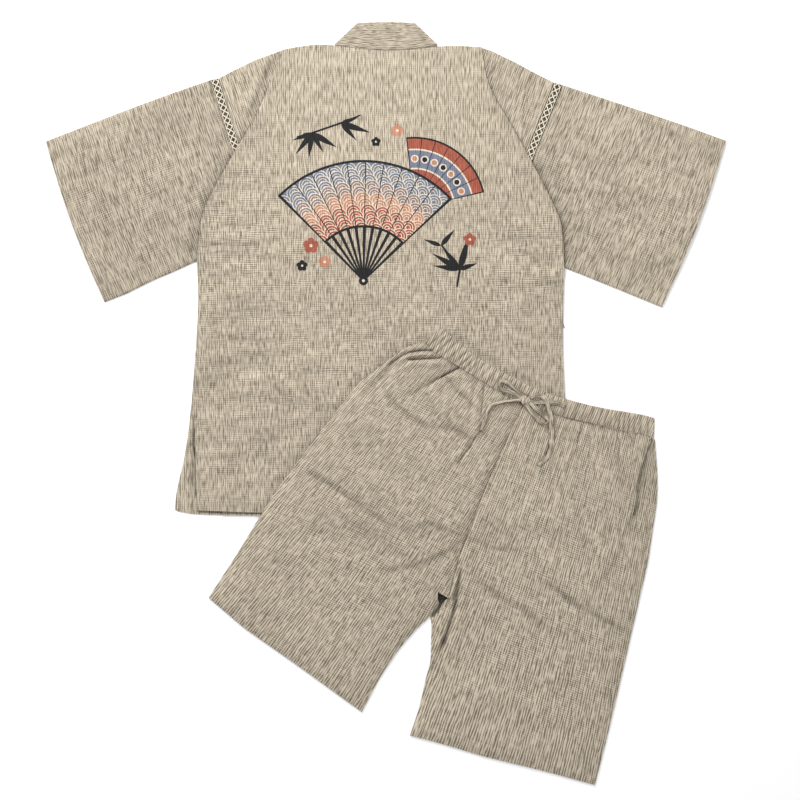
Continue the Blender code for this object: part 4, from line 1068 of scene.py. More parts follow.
# Bamboo leaves and stems, and plum blossoms
for base, leaves in (
    ((118, 214), ((150, 52, 10), (172, 44, 9), (128, 46, 9), (20, 30, 8), (75, 58, 11))),
    ((88, 252), ((160, 30, 7), (50, 34, 8))),
    ((-118, 432), ((200, 34, 8), (232, 44, 9), (262, 40, 9), (330, 46, 10), (300, 36, 8))),
    ((-72, 448), ((342, 50, 10), (18, 30, 7), (312, 38, 8))),
):
    for angle, length, width in leaves:
        ink("black", leaf(base, angle, length, width))
ink("black", [(112, 186), (115, 186), (120, 214), (90, 254), (87, 253), (116, 214)])
ink("black", [(-142, 424), (-118, 430.5), (-72, 446.5), (-40, 460), (-41, 462), (-73, 449.5), (-119, 433.5),
              (-143, 427)])
for spot, size, petals, heart in (((-120, 252), 10, "brick", "cream"), ((-98, 226), 8, "coral", "cream"),
                                  ((-134, 220), 7, "black", "cream"), ((18, 436), 8, "coral", "cream"),
                                  ((134, 262), 8, "brick", "cream"), ((-16, 418), 6, "black", "cream")):
    for k in range(5):
        ink(petals, around(around(spot, 0.72 * size, 90 + 72 * k, 91 + 72 * k, 2)[0], 0.58 * size, count=14))
    ink(petals, around(spot, 0.5 * size, count=12))
    ink(heart, around(spot, 0.27 * size, count=10))


def print_lines():
    """The printed outlines, as lines that the back's mesh follows."""
    lines = []
    for _, outline, inside in print_shapes:
        ring = stepped(outline, BACK_STEP, closed=True)
        if inside is None:
            lines.append(ring + ring[:1])
            continue
        hit = within(np.array([p[0] for p in ring]), np.array([p[1] for p in ring]), inside)
        for k in range(len(ring)):
            if hit[k] or hit[(k + 1) % len(ring)]:
                lines.append([ring[k], ring[(k + 1) % len(ring)]])
    return lines


def printed(centres):
    """Which ink each face of the back has, or 0 for bare cloth."""
    inks = np.zeros(len(centres), int)
    x, y = centres[:, 0], centres[:, 1]
    for number, outline, inside in print_shapes:
        low, high = np.min(outline, axis=0), np.max(outline, axis=0)
        near = np.flatnonzero((x > low[0]) & (x < high[0]) & (y > low[1]) & (y < high[1]))
        hit = within(x[near], y[near], outline)
        if inside is not None:
            hit &= within(x[near], y[near], inside)
        inks[near[hit]] = number
    return inks


def back_light(plan):
    """Painted shade in the pleats, in the cross creases, in the small waves between them and beside the
    shorts, over painted light towards the upper middle.
    """
    waves = sum(share * (ripple(plan, *wave) - 0.5) for share, *wave in SHADE_RIPPLES)
    light = patches(plan, BACK_PAINTED_LIGHT, 0.98) - WAVE_SHADE * waves * patches(plan, BACK_WAVES, 0.25)
    return shaded(plan, BACK_SHADOWS + BACK_SOFT_SHADOWS, light)


back = lay(
    "back_cloth", eased(back_outline), BACK_STEP, back_top, back_low, [body_crepe, *ink_cloths], 0.0, 0.0,
    flanked(stepped(hem_line, 5 * MM), HEM_GROOVE) + print_lines() + crease_lines(BACK_SHADOWS, 4 * MM),
    lambda plan: patches(plan, BACK_CRIMPS, 0.3), back_light, printed,
)
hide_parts("back")

for side, sign in (("left", 1.0), ("right", -1.0)):
    edge = pleat_edges[side]
    stretch = shoulder_stretch[side][::int(sign)]
    gaps = [float(distance_to(p[0], p[1], edge)) for p in stretch]
    free = [k for k, gap in enumerate(gaps) if gap > 0.5 * MM]
    crossing = stretch[free[-1] + 1]
    upper_edge = [np.array(p) for p in edge if p[1] > crossing[1]] + [crossing]
    tucked = moved(upper_edge, sign * PLEAT_TUCK)[::-1]
    outline = [upper_edge[0]] + [stretch[k] for k in free] + [crossing] + tucked
    shadows = SHOULDER_SHADOWS[side]

    def shoulder_top(plan, faces):
        gap = np.clip(distance_to(plan[:, 0], plan[:, 1], outline, closed=True) / BACK_EDGE, 0, 1)
        gap *= ~within(plan[:, 0], plan[:, 1], back_outline)
        return SHOULDER_LEVEL + CLOTH + MM * gap * ripple(plan, 0.05, 0.03, 0.4 * sign, 7.0)

    shoulder = lay(
        "back_shoulder_" + side, outline, BACK_STEP, shoulder_top,
        lambda plan, faces: np.full(len(plan), SHOULDER_LEVEL), [body_crepe], 0.33 * sign, 3.3,
        crease_lines(shadows, 4 * MM), None, lambda plan: shaded(plan, shadows),
    )
    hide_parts("back")

# The shorts, of the same crepe, lie over the jacket's lower corner, turned a little. Each leg is
# a back piece below and a front piece over it, sewn together at both sides; the fronts meet in
# the middle seam. A slanted pocket opens at each hip, over a facing. The legs are hemmed by 22 mm.
SHORTS_MIDDLE = np.array([241.6, 24.6])
SHORTS_TURN = math.radians(-22.7)
SHORTS_STEP = 3.6 * MM

# Places on the hip, the pocket, the hem and the seams: millimetres in the shorts' own frame,
# from the middle of the waist
HIP = {
    "right": [(-127, -17.6), (-150, -13.8), (-174, -10.4), (-193.6, -1.2), (-219, -19), (-246, -67),
              (-260, -92)],
    "left": [(201, -4), (205, -3), (230, -51), (246, -90), (256, -130)],
}
POCKET = {
    "right": [(-127, -18.4), (-141, -35), (-155, -53), (-170, -73), (-181, -92)],
    "left": [(201, -4), (200, -35), (204, -68), (212, -100), (219, -130)],
}
LEG_HEM = {
    "right": [(-278, -513), (-175, -537), (-54, -564)],
    "left": [(248, -538), (150, -554), (76, -562), (26, -568)],
}
MIDDLE_SEAM = [(-10, -32), (-13, -86), (-15, -152), (-14, -224), (-12, -284), (-6, -335), (-1, -364)]
# How far the facing lies below the pocket's mouth, the rise of the mouth's edge, and how far each
# reaches
POCKET_STEP, POCKET_RISE, FACING_REACH, EDGE_REACH = 0.9 * MM, 0.5 * MM, 0.016, 0.005
SEAM_DEPTH, SEAM_BESIDE, SEAM_HALF = 0.3 * MM, 0.0065, 0.0012  # stitched grooves
# Creases, in the set's frame: line, half width and rise, which is below 0 in a groove
SHORTS_CREASES = [
    ([(88, 92), (60, 92.5), (36, 91), (14, 83), (-8, 62), (-30, 40)], 7, 1.9),
    ([(82, 84.5), (57.6, 84.2), (37.6, 81.4), (24, 74.7), (3.2, 59.8)], 3.4, -3.0),
    ([(90, 78.5), (62, 77.6), (38, 75.5), (18, 66)], 4.6, 1.6),
    ([(95, 77), (84.8, 71.8), (64, 71.2), (35.2, 69.4)], 3, -2.6),
    ([(104, 70), (86, 64), (62, 63), (36, 60), (8, 46)], 8, 1.3),
    ([(120.6, 58.2), (100.5, 47.8), (80, 36), (62.4, 25.4)], 2.6, -2.0),
    ([(118, 49), (98, 39), (74, 24)], 6, 1.2),
    ([(128, 52), (121, 38), (118, 22)], 3, -1.2),
    ([(144, 44), (140, 14), (134, -6)], 3, -1.0),
    ([(156.8, 27.8), (153, -5), (150, -40), (132, -72), (112, -98.6)], 2.8, -2.0),
    ([(148, 26), (145, -6), (141, -38), (124, -68), (104, -96)], 7, 1.8),
    ([(112, -98.6), (84, -132), (58, -156)], 6, -0.9),
    ([(280, -28), (262, -66), (245.8, -102.6)], 2.6, -1.5),
    ([(287, -26), (270, -64), (254, -104)], 6, 1.3),
    ([(313.4, -31), (304.6, -64.3)], 2.6, -1.6),
    ([(322, -33), (314, -66)], 5, 1.1),
    ([(350, -44), (346, -84)], 2.6, -1.2),
    ([(378, -50), (372, -78)], 2.6, -1.0),
    ([(405, -54), (402, -96)], 3, -1.2),
    ([(126.4, -217), (163, -226), (199.5, -239.4)], 7, -0.9),
    ([(-1.6, 21.4), (50, -12), (102.4, -42.6)], 14, -1.3),
    ([(24, 44), (72, 16), (124, -20)], 13, 1.2),
    ([(-60, -40), (20, -84), (80, -128)], 15, -1.0),
    ([(-129.6, -106.6), (-45, -158), (38.4, -202.6)], 18, -1.3),
    ([(-170, -190), (-90, -236), (-20, -262)], 18, 1.0),
    ([(-190, -260), (-120, -318), (-60, -352)], 18, -0.9),
    ([(-40, -330), (6, -382), (14, -430)], 16, 0.8),
    ([(150.4, -282.6), (214, -330), (278.4, -378.6)], 17, -1.1),
    ([(246.4, -298.6), (330, -332), (406.4, -362.6)], 18, -1.1),
    ([(180, -420), (250, -440), (330, -430)], 18, 0.9),
    ([(130, -500), (200, -520), (290, -530)], 18, -0.8),
    ([(300, -160), (352, -200), (410, -216)], 17, -1.0),
    ([(120, -262), (116.2, -292.8), (107.2, -337), (99, -368.6), (81.6, -404.2)], 6.5, -3.2),
    ([(111.8, -282), (108, -300), (103, -318)], 4.5, 1.8),
    ([(128, -270), (126, -300), (118, -345), (106, -390)], 8, 1.4),
    ([(93, -304), (86, -322), (76.2, -341.4)], 4, -1.6),
]
# Deep folds and narrow gaps, as the jacket's: line, half width and darkness
SHORTS_SHADOWS = [
    ([(84, 85), (57.6, 84.6), (37.6, 82), (24, 75.4), (3.2, 60.4)], 2.4, 0.68),
    ([(93.6, 77.4), (84.8, 72), (64, 71.4), (35.2, 69.4)], 2.0, 0.58),
    ([(120.6, 58.2), (110, 53.4), (100.5, 47.8), (88, 42)], 1.8, 0.75),
    ([(96, 46), (80, 36), (62.4, 25.4)], 1.6, 0.45), ([(156.8, 27.8), (153, -5), (151, -38)], 1.8, 0.4),
    ([(153, -30), (150, -44), (132, -72), (112, -98.6)], 1.6, 0.6),
    ([(222, -4), (206, -42), (190.4, -74.6), (170, -122), (158.4, -145)], 1.5, 0.5),
    ([(280, -28), (262, -66), (245.8, -102.6)], 1.6, 0.4), ([(313.4, -31), (304.6, -64.3)], 1.5, 0.4),
    ([(284, -22), (313, -29.5), (345, -38), (404, -50)], 1.3, 0.45),
    ([(119, -262), (116, -290), (112, -314), (106, -341), (98, -366), (88, -391)], 4.4, 0.62),
    ([(111, -284), (108, -300), (104, -316)], 1.8, 0.45),
    ([(7, 52), (-52, 3), (-101, -50), (-150, -103), (-190, -152)], 1.6, 0.26),
    ([(419, -61), (428, -54)], 2.2, 0.75), ([(8, 62), (-2, 54), (-17, 40.5), (-32, 27)], 1.8, 0.4),
    ([(149, 56), (142, 46.5), (138, 37), (136, 28)], 1.6, 0.5),
]
# The soft shade in the creases that lie across the legs
SHORTS_SHADES = [
    ([(-129, -103), (-60, -148), (9, -197)], 9, 0.33),
    ([(9, -197), (38, -203), (67, -190), (128, -213)], 8, 0.28),
    ([(-80, -169), (0, -225), (62, -258)], 14, 0.12),
    ([(-7, -267), (46, -258), (91, -238), (118, -222)], 8, 0.3),
    ([(3, 11), (36, -17.6), (66.5, -36), (98, -36), (134, -54)], 8, 0.36),
    ([(60, 4), (104, -30), (140, -60)], 10, 0.15), ([(124, -213), (169, -232), (226, -232)], 7, 0.24),
    ([(136, -275), (185, -311), (222, -330), (258, -356)], 9, 0.3),
    ([(246, -278), (278, -301), (315, -329), (347, -344), (390, -366)], 9, 0.34),
    ([(98, -366), (88, -391), (80, -408), (72, -428)], 6, 0.3),
    ([(-64, -52), (10, -96), (90, -140)], 16, 0.07),
    ([(150, -290), (214, -334), (278, -382)], 14, 0.05), ([(412, -60), (410, -110), (406, -150)], 15, 0.2),
    ([(404, -152), (393, -187), (384, -209)], 6, 0.34), ([(384, -209), (364, -255), (338, -292)], 8, 0.24),
    ([(352, -58), (372, -100), (380, -150)], 12, 0.12),
    ([(368, -49), (375, -67)], 3, 0.4), ([(385, -46), (397, -64)], 3, 0.4),
    ([(17, 69.8), (7.4, 61.2), (-5, 49), (-17, 36.7), (-28, 24.5)], 6, 0.3),
    ([(48, 73), (32, 71), (22, 68)], 4, 0.2), ([(97, 40), (111, 23), (130, 6), (144, -7)], 5, 0.34),
]
# Painted shadow in the mouth of the fold under the crotch, seen between the two legs
fold_mouth = metres([
    (84.2, -298.3), (86, -304), (92.2, -306.3), (100.8, -311.1), (94.6, -315.4), (91, -320.3), (84.8, -331.4),
    (76.5, -342), (72, -342), (73.8, -336.2), (82.4, -325.2), (84.2, -319.2), (82.6, -311.8), (82, -304),
])
MOUTH_RIM = 0.8 * MM
MOUTH_DARK, MOUTH_PALE = 0.04, 0.5
MOUTH_FADE, FADE_FROM = 13.0, -0.316  # paling for each metre down, and where it starts
mouth_lines = flanked(stepped(fold_mouth + fold_mouth[:1], 2 * MM), MOUTH_RIM)


def fold_shade(plan, light):
    """Painted shadow: near black in the fold's mouth, and paler down towards its open end."""
    x, y = plan[:, 0], plan[:, 1]
    depth = np.where(within(x, y, fold_mouth), distance_to(x, y, fold_mouth, closed=True), 0)
    inside = np.clip(depth / MOUTH_RIM, 0, 1)
    dark = np.clip(MOUTH_DARK - MOUTH_FADE * (y - FADE_FROM), MOUTH_DARK, MOUTH_PALE)
    return light * (1 - inside) + inside * dark


SHORTS_CRIMPS = [(60, -40, 120, 0.6), (-60, -160, 140, 0.5), (40, -260, 120, 0.5), (200, -140, 110, 0.4),
                 (330, -160, 110, 0.5), (250, -330, 130, 0.5), (330, -440, 120, 0.3), (-120, -300, 120, 0.3)]
# Soft waves of a leg: rise in millimetres, length, width, turn for each side and seed
LEG_RIPPLES = {
    "left": ((0.9, 0.07, 0.1, -0.5, 1.5), (0.5, 0.05, 0.014, 0.25, 2.5), (0.4, 0.014, 0.1, -0.02, 4.5)),
    "right": ((0.9, 0.07, 0.1, 0.5, 1.5), (0.5, 0.05, 0.014, 0.25, 2.5), (0.4, 0.014, 0.1, 0.02, 4.5)),
}
GATHER_DEPTH = 26 * MM
GATHER_PITCH = 9.2 * MM
GATHER_RISE = 2.3 * MM
GATHER_SPREAD, SPREAD_AT = 0.16, 0.2  # the ridges fan out by this share, at this depth in metres
GATHER_WANDER, WANDER_OVER = 1.4, 0.03  # how far they wander, in pitches, and over what length
REACH_MEAN, REACH_VARIES, REACH_LEAST = 0.9, 1.3, 0.006
RIDGE_ROUND = 0.7  # below 1, the ridges are broad and the valleys between them narrow
SHORTS_PUFF, PUFF_REACH = 2.6 * MM, 0.012
CREASE_GAIN = 1.4
LEG_WALL, LEG_GAP = 0.3 * MM, 0.35 * MM  # under face of a front, and least gap below its cloth
CROTCH_GAP = [(-8, -371), (-13.5, -386), (-17, -404), (-9, -413)]


def to_set(points):
    """Points in millimetres of the shorts' frame, as metres of the set's."""
    c, s = math.cos(SHORTS_TURN), math.sin(SHORTS_TURN)
    return [MM * (SHORTS_MIDDLE + (c * x - s * y, s * x + c * y)) for x, y in points]


def to_shorts(plan):
    """Places in the shorts' frame, in metres, of points of the set's."""
    c, s = math.cos(SHORTS_TURN), math.sin(SHORTS_TURN)
    away = np.asarray(plan, float) - MM * SHORTS_MIDDLE
    return np.column_stack([c * away[:, 0] + s * away[:, 1], -s * away[:, 0] + c * away[:, 1]])


def smooth_line(points, count):
    """Points of a smooth curve through the given ones (Catmull-Rom)."""
    points = np.array(points, float)
    padded = np.vstack([2 * points[0] - points[1], points, 2 * points[-1] - points[-2]])
    out = []
    for place in np.linspace(0, len(points) - 1, count):
        k = min(int(place), len(points) - 2)
        t = place - k
        p0, p1, p2, p3 = padded[k:k + 4]
        out.append(0.5 * (2 * p1 + (p2 - p0) * t + (2 * p0 - 5 * p1 + 4 * p2 - p3) * t ** 2
                          + (3 * p1 - p0 - 3 * p2 + p3) * t ** 3))
    return np.array(out)


shorts_crepe = crepe("shorts_crepe", LINEN_DARK, LINEN_MIDDLE, LINEN_LIGHT, 0.8, 1.35)
WAIST_POINTS = 240
WAIST_SEAM = [(-194, 0), (-174, -10), (-128, -17), (-67, -27), (-9, -31), (49, -27), (116, -16), (180, -4),
              (203, -1)]
waist_seam = smooth_line(WAIST_SEAM, WAIST_POINTS) * MM


def gathers(own):
    """Depth below the waist seam, and the ridges, from 0 to 1, that run down from it and fade."""
    depth = np.interp(own[:, 0], waist_seam[:, 0], waist_seam[:, 1]) - own[:, 1]
    ridges = np.zeros(len(own))
    fades = np.zeros(len(own))
    spread = own[:, 0] + GATHER_SPREAD * own[:, 0] * depth / SPREAD_AT
    for k, (across, down) in enumerate(zip(spread, depth)):
        place = across / GATHER_PITCH + GATHER_WANDER * noise.noise(Vector((across / WANDER_OVER, 0.0, 9.0)))
        varied = noise.noise(Vector((math.floor(place) * 1.7, 0.0, 11.0)))
        reach = GATHER_DEPTH * (REACH_MEAN + REACH_VARIES * varied)
        fades[k] = math.exp(-max(down, 0.0) / max(reach, REACH_LEAST))
        ridges[k] = abs(math.sin(math.pi * place)) ** RIDGE_ROUND
    return depth, ridges, fades


# The legs lie spread, so the grain leans along each: its lean on the middle, and the change a metre
LEG_LEAN = {"right": (0.17, -0.85), "left": (-0.02, -0.95)}
LEAN_ROUNDS, RIB_CROWDING = 8, 1.15
# How light a leg is, and the shade between its gathers, at its pocket and under the waistband,
# where it fades towards the wearer's left
LEG_LIGHT, GATHER_SHADE, POCKET_SHADE, SEAM_SHADE = 1.03, 0.5, 0.55, 0.4
SEAM_REACH, SEAM_FADE_FROM, SEAM_FADE_OVER = 0.0025, 0.08, 0.04


def fanned(mesh, side, offset):
    """Each point's place on the cloth of a leg, where the grain fans out towards the hem."""
    own = to_shorts(np.array([v.co[:2] for v in mesh.vertices]))
    middle, change = LEG_LEAN[side]
    start = own[:, 0].copy()
    for _ in range(LEAN_ROUNDS):
        lean = middle + change * start
        start = own[:, 0] - lean * own[:, 1]
    along = own[:, 1] * np.hypot(1.0, lean)
    return np.column_stack([RIB_CROWDING * start, along, np.full(len(start), offset)])


under_skin = skin_of(*[frame["nodes"]["shorts_back_" + side].data for side in ("left", "right")])
front_skin = skin_of(*[
    frame["nodes"][kind + side].data
    for kind in ("shorts_front_", "pocket_facing_") for side in ("left", "right")
])
for side, offset in (("left", 4.1), ("right", 4.9)):
    node = "shorts_back_" + side
    skin = skin_of(frame["nodes"][node].data)
    outline = outline_of(node)
    if side == "left":
        outline = spliced(outline, to_set(CROTCH_GAP))[0]
    piece = lay(
        node + "_cloth", eased(outline), FRONT_STEP, *resting(skin), [shorts_crepe], SHORTS_TURN, offset,
        mouth_lines, None, lambda plan: fold_shade(plan, np.full(len(plan), 0.95)),
    )
    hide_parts(node)

for side, offset in (("left", 5.3), ("right", 6.1)):
    hip, pocket, hem = to_set(HIP[side]), to_set(POCKET[side]), to_set(LEG_HEM[side])
    outline = spliced(outline_of("shorts_front_" + side), hip)[0]
    facing = outline_of("pocket_facing_" + side)
    seam = to_set(MIDDLE_SEAM)

    def leg_top(plan, faces):
        level = smoothed(heights(front_skin, plan), faces, 7) - AIR
        own = to_shorts(plan)
        x, y = plan[:, 0], plan[:, 1]
        rim = np.clip(distance_to(x, y, outline, closed=True) / PUFF_REACH, 0, 1)
        _, ridges, fades = gathers(own)
        broad, crimped, fine = (rise * MM * ripple(own, *wave) for rise, *wave in LEG_RIPPLES[side])
        wave = SHORTS_PUFF * rim + GATHER_RISE * (ridges - 0.3) * fades
        wave += (broad + crimped * patches(plan, SHORTS_CRIMPS, 0.35) + fine) * rim
        wave += CREASE_GAIN * creased(plan, SHORTS_CREASES) * np.clip(rim + 0.3, 0, 1)
        gap = distance_to(x, y, pocket)
        sunk, raised = -POCKET_STEP * np.exp(-gap / FACING_REACH), np.exp(-(gap / EDGE_REACH) ** 2)
        mouth = np.where(within(x, y, facing), sunk, POCKET_RISE * raised)
        groove = np.clip(1 - distance_to(x, y, hem) / HEM_GROOVE, 0, 1)
        groove += np.clip(1 - np.abs(distance_to(x, y, seam) - SEAM_BESIDE) / SEAM_HALF, 0, 1)
        least = heights(under_skin, plan) + LEG_GAP + CLOTH
        return np.maximum(level + wave + mouth - SEAM_DEPTH * groove, least)

    def leg_light(plan):
        own = to_shorts(plan)
        depth, ridges, fades = gathers(own)
        gap = distance_to(plan[:, 0], plan[:, 1], pocket)
        inside = within(plan[:, 0], plan[:, 1], facing)
        light = LEG_LIGHT - GATHER_SHADE * (1 - ridges) ** 2 * fades
        light -= np.where(inside, POCKET_SHADE * np.exp(-gap / EDGE_REACH), 0)
        fading = 1 - 0.7 * np.clip((own[:, 0] - SEAM_FADE_FROM) / SEAM_FADE_OVER, 0, 1)
        light -= SEAM_SHADE * np.exp(-np.maximum(depth, 0) / SEAM_REACH) * fading
        return fold_shade(plan, shaded(plan, SHORTS_SHADOWS + SHORTS_SHADES, light))

    def leg_low(plan, faces):
        return heights(under_skin, plan) + LEG_WALL

    lines = crease_lines(SHORTS_CREASES, SHORTS_STEP) + crease_lines(SHORTS_SHADOWS, SHORTS_STEP)
    lines += mouth_lines + flanked(stepped(pocket, SHORTS_STEP), MOUTH_RIM)
    for line in (hem, seam):
        lines += flanked(stepped(line, SHORTS_STEP), HEM_GROOVE)
    leg = lay(
        "shorts_front_" + side + "_cloth", eased(outline), SHORTS_STEP, leg_top, leg_low, [shorts_crepe],
        SHORTS_TURN, offset, lines, lambda plan: patches(plan, SHORTS_CRIMPS, 0.45), leg_light,
    )
    leg.data.attributes["grain"].data.foreach_set("vector", np.ravel(fanned(leg.data, side, offset)))
    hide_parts("shorts_front_" + side, "pocket_facing_" + side)

# The waistband is a casing round the waist for the elastic and the drawstring. It is sewn to the
# gathered waist, and the elastic draws it into close gathers, deepest at the wearer's right.
WAIST_TOP = [(-178, 29), (-143, 18), (-100, 7), (-55, 2), (-2, -2), (47, 1), (105, 10), (166, 24), (192, 28)]
BAND_GATHERS = 41
BAND_COLUMNS = 420
# Heights of the band over what it lies on, of its round back and of its ridges, and how far the
# row of stitches near the seam draws it in
BAND_LOW, BAND_ROUND, BAND_RIDGE, BAND_DRAWN = 2.2 * MM, 1.4 * MM, 4.0 * MM, 0.5 * MM
STITCHED_AT, STITCHED_HALF = 0.12, 0.03  # shares of the way up from the seam
BAND_RIDGE_ROUND = 0.65
BAND_WALL_LIGHT = 0.8  # of its underside
WAIST_OFFSET = 6.6
BAND_LIGHT, RIDGE_SHADE, STITCH_SHADE, FOOT_SHADE = 1.09, 0.72, 0.18, 0.2
BAND_ROW_SHARES = (0.0, 0.03, 0.08, 0.16, 0.26, 0.38, 0.5, 0.62, 0.74, 0.84, 0.92, 0.97, 1.0)
waist_skin = skin_of(frame["nodes"]["waistband"].data)
top_line = smooth_line(WAIST_TOP, WAIST_POINTS)
seam_line = smooth_line(WAIST_SEAM, WAIST_POINTS)
outer, inner, grain, light = [], [], [], []
for up in BAND_ROW_SHARES:
    def place(u):
        base, top = share_of(seam_line, u), share_of(top_line, u)
        return base + (top - base) * up

    shares = np.linspace(0.003, 0.997, BAND_COLUMNS)
    plan = np.array(to_set([place(u) for u in shares]))
    trios = np.array([(k, k + 1, k + 2) for k in range(len(plan) - 2)])
    ground = smoothed(heights(waist_skin, plan, above=False), trios, 4)
    stitched = math.exp(-((up - STITCHED_AT) / STITCHED_HALF) ** 2)
    bulge = math.sin(math.pi * min(1.0, max(0.0, up)))
    upper, bright = [], []
    for (x, y), level, u in zip(plan, ground, shares):
        pull = 0.6 + 0.4 * math.cos(math.pi * u) ** 2 * (1.0 if u < 0.5 else 0.5)
        lean = 0.7 * (up - 0.5) * noise.noise(Vector((9.0 * u, 0.0, 3.0)))
        count = BAND_GATHERS * (u + 0.03 * noise.noise(Vector((7.0 * u, 0.0, 5.0)))) + lean
        ridge = abs(math.sin(math.pi * count)) ** BAND_RIDGE_ROUND
        size = 0.6 + 0.5 * noise.noise(Vector((math.floor(count) * 1.3, 0.7 * up, 8.0)))
        ends = math.sin(math.pi * u) ** 0.25
        z = level + BAND_LOW + ends * BAND_ROUND * bulge ** 0.6
        z += ends * BAND_RIDGE * pull * ridge * size * (0.5 + 0.5 * bulge) - BAND_DRAWN * stitched
        upper.append((x, y, z))
        bright.append(BAND_LIGHT - RIDGE_SHADE * pull * (1 - ridge) ** 1.5 - STITCH_SHADE * stitched
                      - FOOT_SHADE * math.exp(-up / STITCHED_HALF))
    base = np.array(to_set([place(u) for u in shares[::-6]]))
    lower = [(x, y, z + AIR) for (x, y), z in zip(base, heights(waist_skin, base, above=False))]
    far_level, near_level = 0.5 * (upper[-1][2] + lower[0][2]), 0.5 * (upper[0][2] + lower[-1][2])
    for rings, wall, inset in ((outer, 0.0, 0.0005), (inner, CLOTH, 0.0055)):
        far, near = to_set([place(1 - inset), place(inset)])
        rings.append(
            [(x, y, z - wall) for x, y, z in upper] + [(*far, far_level)]
            + [(x, y, z + wall) for x, y, z in lower] + [(*near, near_level)]
        )
    own = to_shorts([p[:2] for p in outer[-1]])
    grain += [(a, b, WAIST_OFFSET) for a, b in own]
    light += bright + [BAND_WALL_LIGHT] * (len(own) - len(bright))
points, faces = hollow(outer, inner)
waistband = finish_piece(
    "waistband_cloth", points, faces, [shorts_crepe], np.array(grain * 2), 0.4, np.array(light * 2),
)
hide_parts("waistband")

# The drawstring is a narrow tape of the same crepe, folded lengthwise and stitched. It comes out
# of two slits in the waistband and is tied in a bow with two loops and two free ends. It is
# crumpled, so it lies half on edge in places.
TAPE_WIDTH, TAPE_WALL = 8.2 * MM, 1.3 * MM
TAPE_ROUND = 14
# How far the tape's width, roll and fold wander, and over what length in metres
WIDTH_WANDER, ROLL_WANDER, FOLD_WANDER = (0.16, 0.011), (16, 0.016), (0.9 * MM, 0.02)
FOLD_SHADE, EDGE_SHADE = 0.9, 0.28
tape_crepe = crepe("tape_crepe", LINEN_DARK, LINEN_MIDDLE, LINEN_LIGHT, 0.6)
worn_skin = skin_of(
    waistband.data, *[bpy.data.objects["shorts_front_" + side + "_cloth"].data for side in ("left", "right")]
)


def capped(rows, size):
    """Faces of a closed tube through rows of points, with a cap at each end."""
    faces = [
        (r * size + j, r * size + (j + 1) % size, (r + 1) * size + (j + 1) % size, (r + 1) * size + j)
        for r in range(rows - 1) for j in range(size)
    ]
    return faces + [tuple(range(size))[::-1], tuple((rows - 1) * size + j for j in range(size))]


def tape_piece(name, route, width, skin, seed, light=1.0, local=True):
    """A crumpled tape along a route, lying on the skin. Gives the piece and its middle line."""
    line = smooth_line([row[:2] for row in route], 12 * len(route))
    spots = np.linspace(0, len(route) - 1, len(line))
    lifts, rolls = [np.interp(spots, range(len(route)), [row[k] for row in route]) for k in (2, 3)]
    plan = np.array(to_set(line)) if local else np.array(line) * MM
    run = np.gradient(plan, axis=0)
    run /= np.linalg.norm(run, axis=1)[:, None]
    side = np.column_stack([-run[:, 1], run[:, 0]])
    levels = [heights(skin, plan + side * width * share) for share in (-0.4, -0.2, 0.0, 0.2, 0.4)]
    ground = np.max(levels, axis=0)
    ground = np.max([ground, np.r_[ground[1:], ground[-1]], np.r_[ground[0], ground[:-1]]], axis=0)
    for _ in range(4):
        ground[1:-1] = np.maximum(ground[1:-1], 0.25 * ground[:-2] + 0.5 * ground[1:-1] + 0.25 * ground[2:])
    gone = np.r_[0, np.cumsum(np.linalg.norm(np.diff(plan, axis=0), axis=1))]
    points, grain, shade, path = [], [], [], []
    for k, (here, across, level) in enumerate(zip(plan, side, ground)):
        narrow = 0.9 + WIDTH_WANDER[0] * noise.noise(Vector((gone[k] / WIDTH_WANDER[1], seed, 0.0)))
        wander = ROLL_WANDER[0] * noise.noise(Vector((gone[k] / ROLL_WANDER[1], seed, 3.0)))
        roll = math.radians(rolls[k] + wander)
        lift = level + lifts[k] * MM + 0.5 * TAPE_WALL + abs(math.sin(roll)) * 0.42 * width
        path.append((*here, lift))
        for j in range(TAPE_ROUND):
            angle = 2 * math.pi * j / TAPE_ROUND
            u = math.copysign(abs(math.cos(angle)) ** 0.7, math.cos(angle))
            v = math.copysign(abs(math.sin(angle)) ** 0.5, math.sin(angle))
            fold = noise.noise(Vector((2.2 * u + 0.5 * seed, gone[k] / FOLD_WANDER[1], seed)))
            bent = FOLD_WANDER[0] * fold * (1 - 0.3 * abs(u))
            out, up = 0.5 * width * narrow * u, 0.5 * TAPE_WALL * v + bent
            place = here + across * (out * math.cos(roll) - up * math.sin(roll))
            points.append((*place, max(0.0, lift + out * math.sin(roll) + up * math.cos(roll))))
            grain.append((out, gone[k], seed))
            creased_edge = max(0.0, abs(u) - 0.8) / 0.2
            shade.append(light * (1 - FOLD_SHADE * max(0.0, -fold) - EDGE_SHADE * creased_edge))
    points = np.array(points)
    piece = finish_piece(
        name, points, outward(points, capped(len(plan), TAPE_ROUND)), [tape_crepe], np.array(grain), 0.15,
        np.clip(np.array(shade), 0.3, 1.1),
    )
    return piece, path


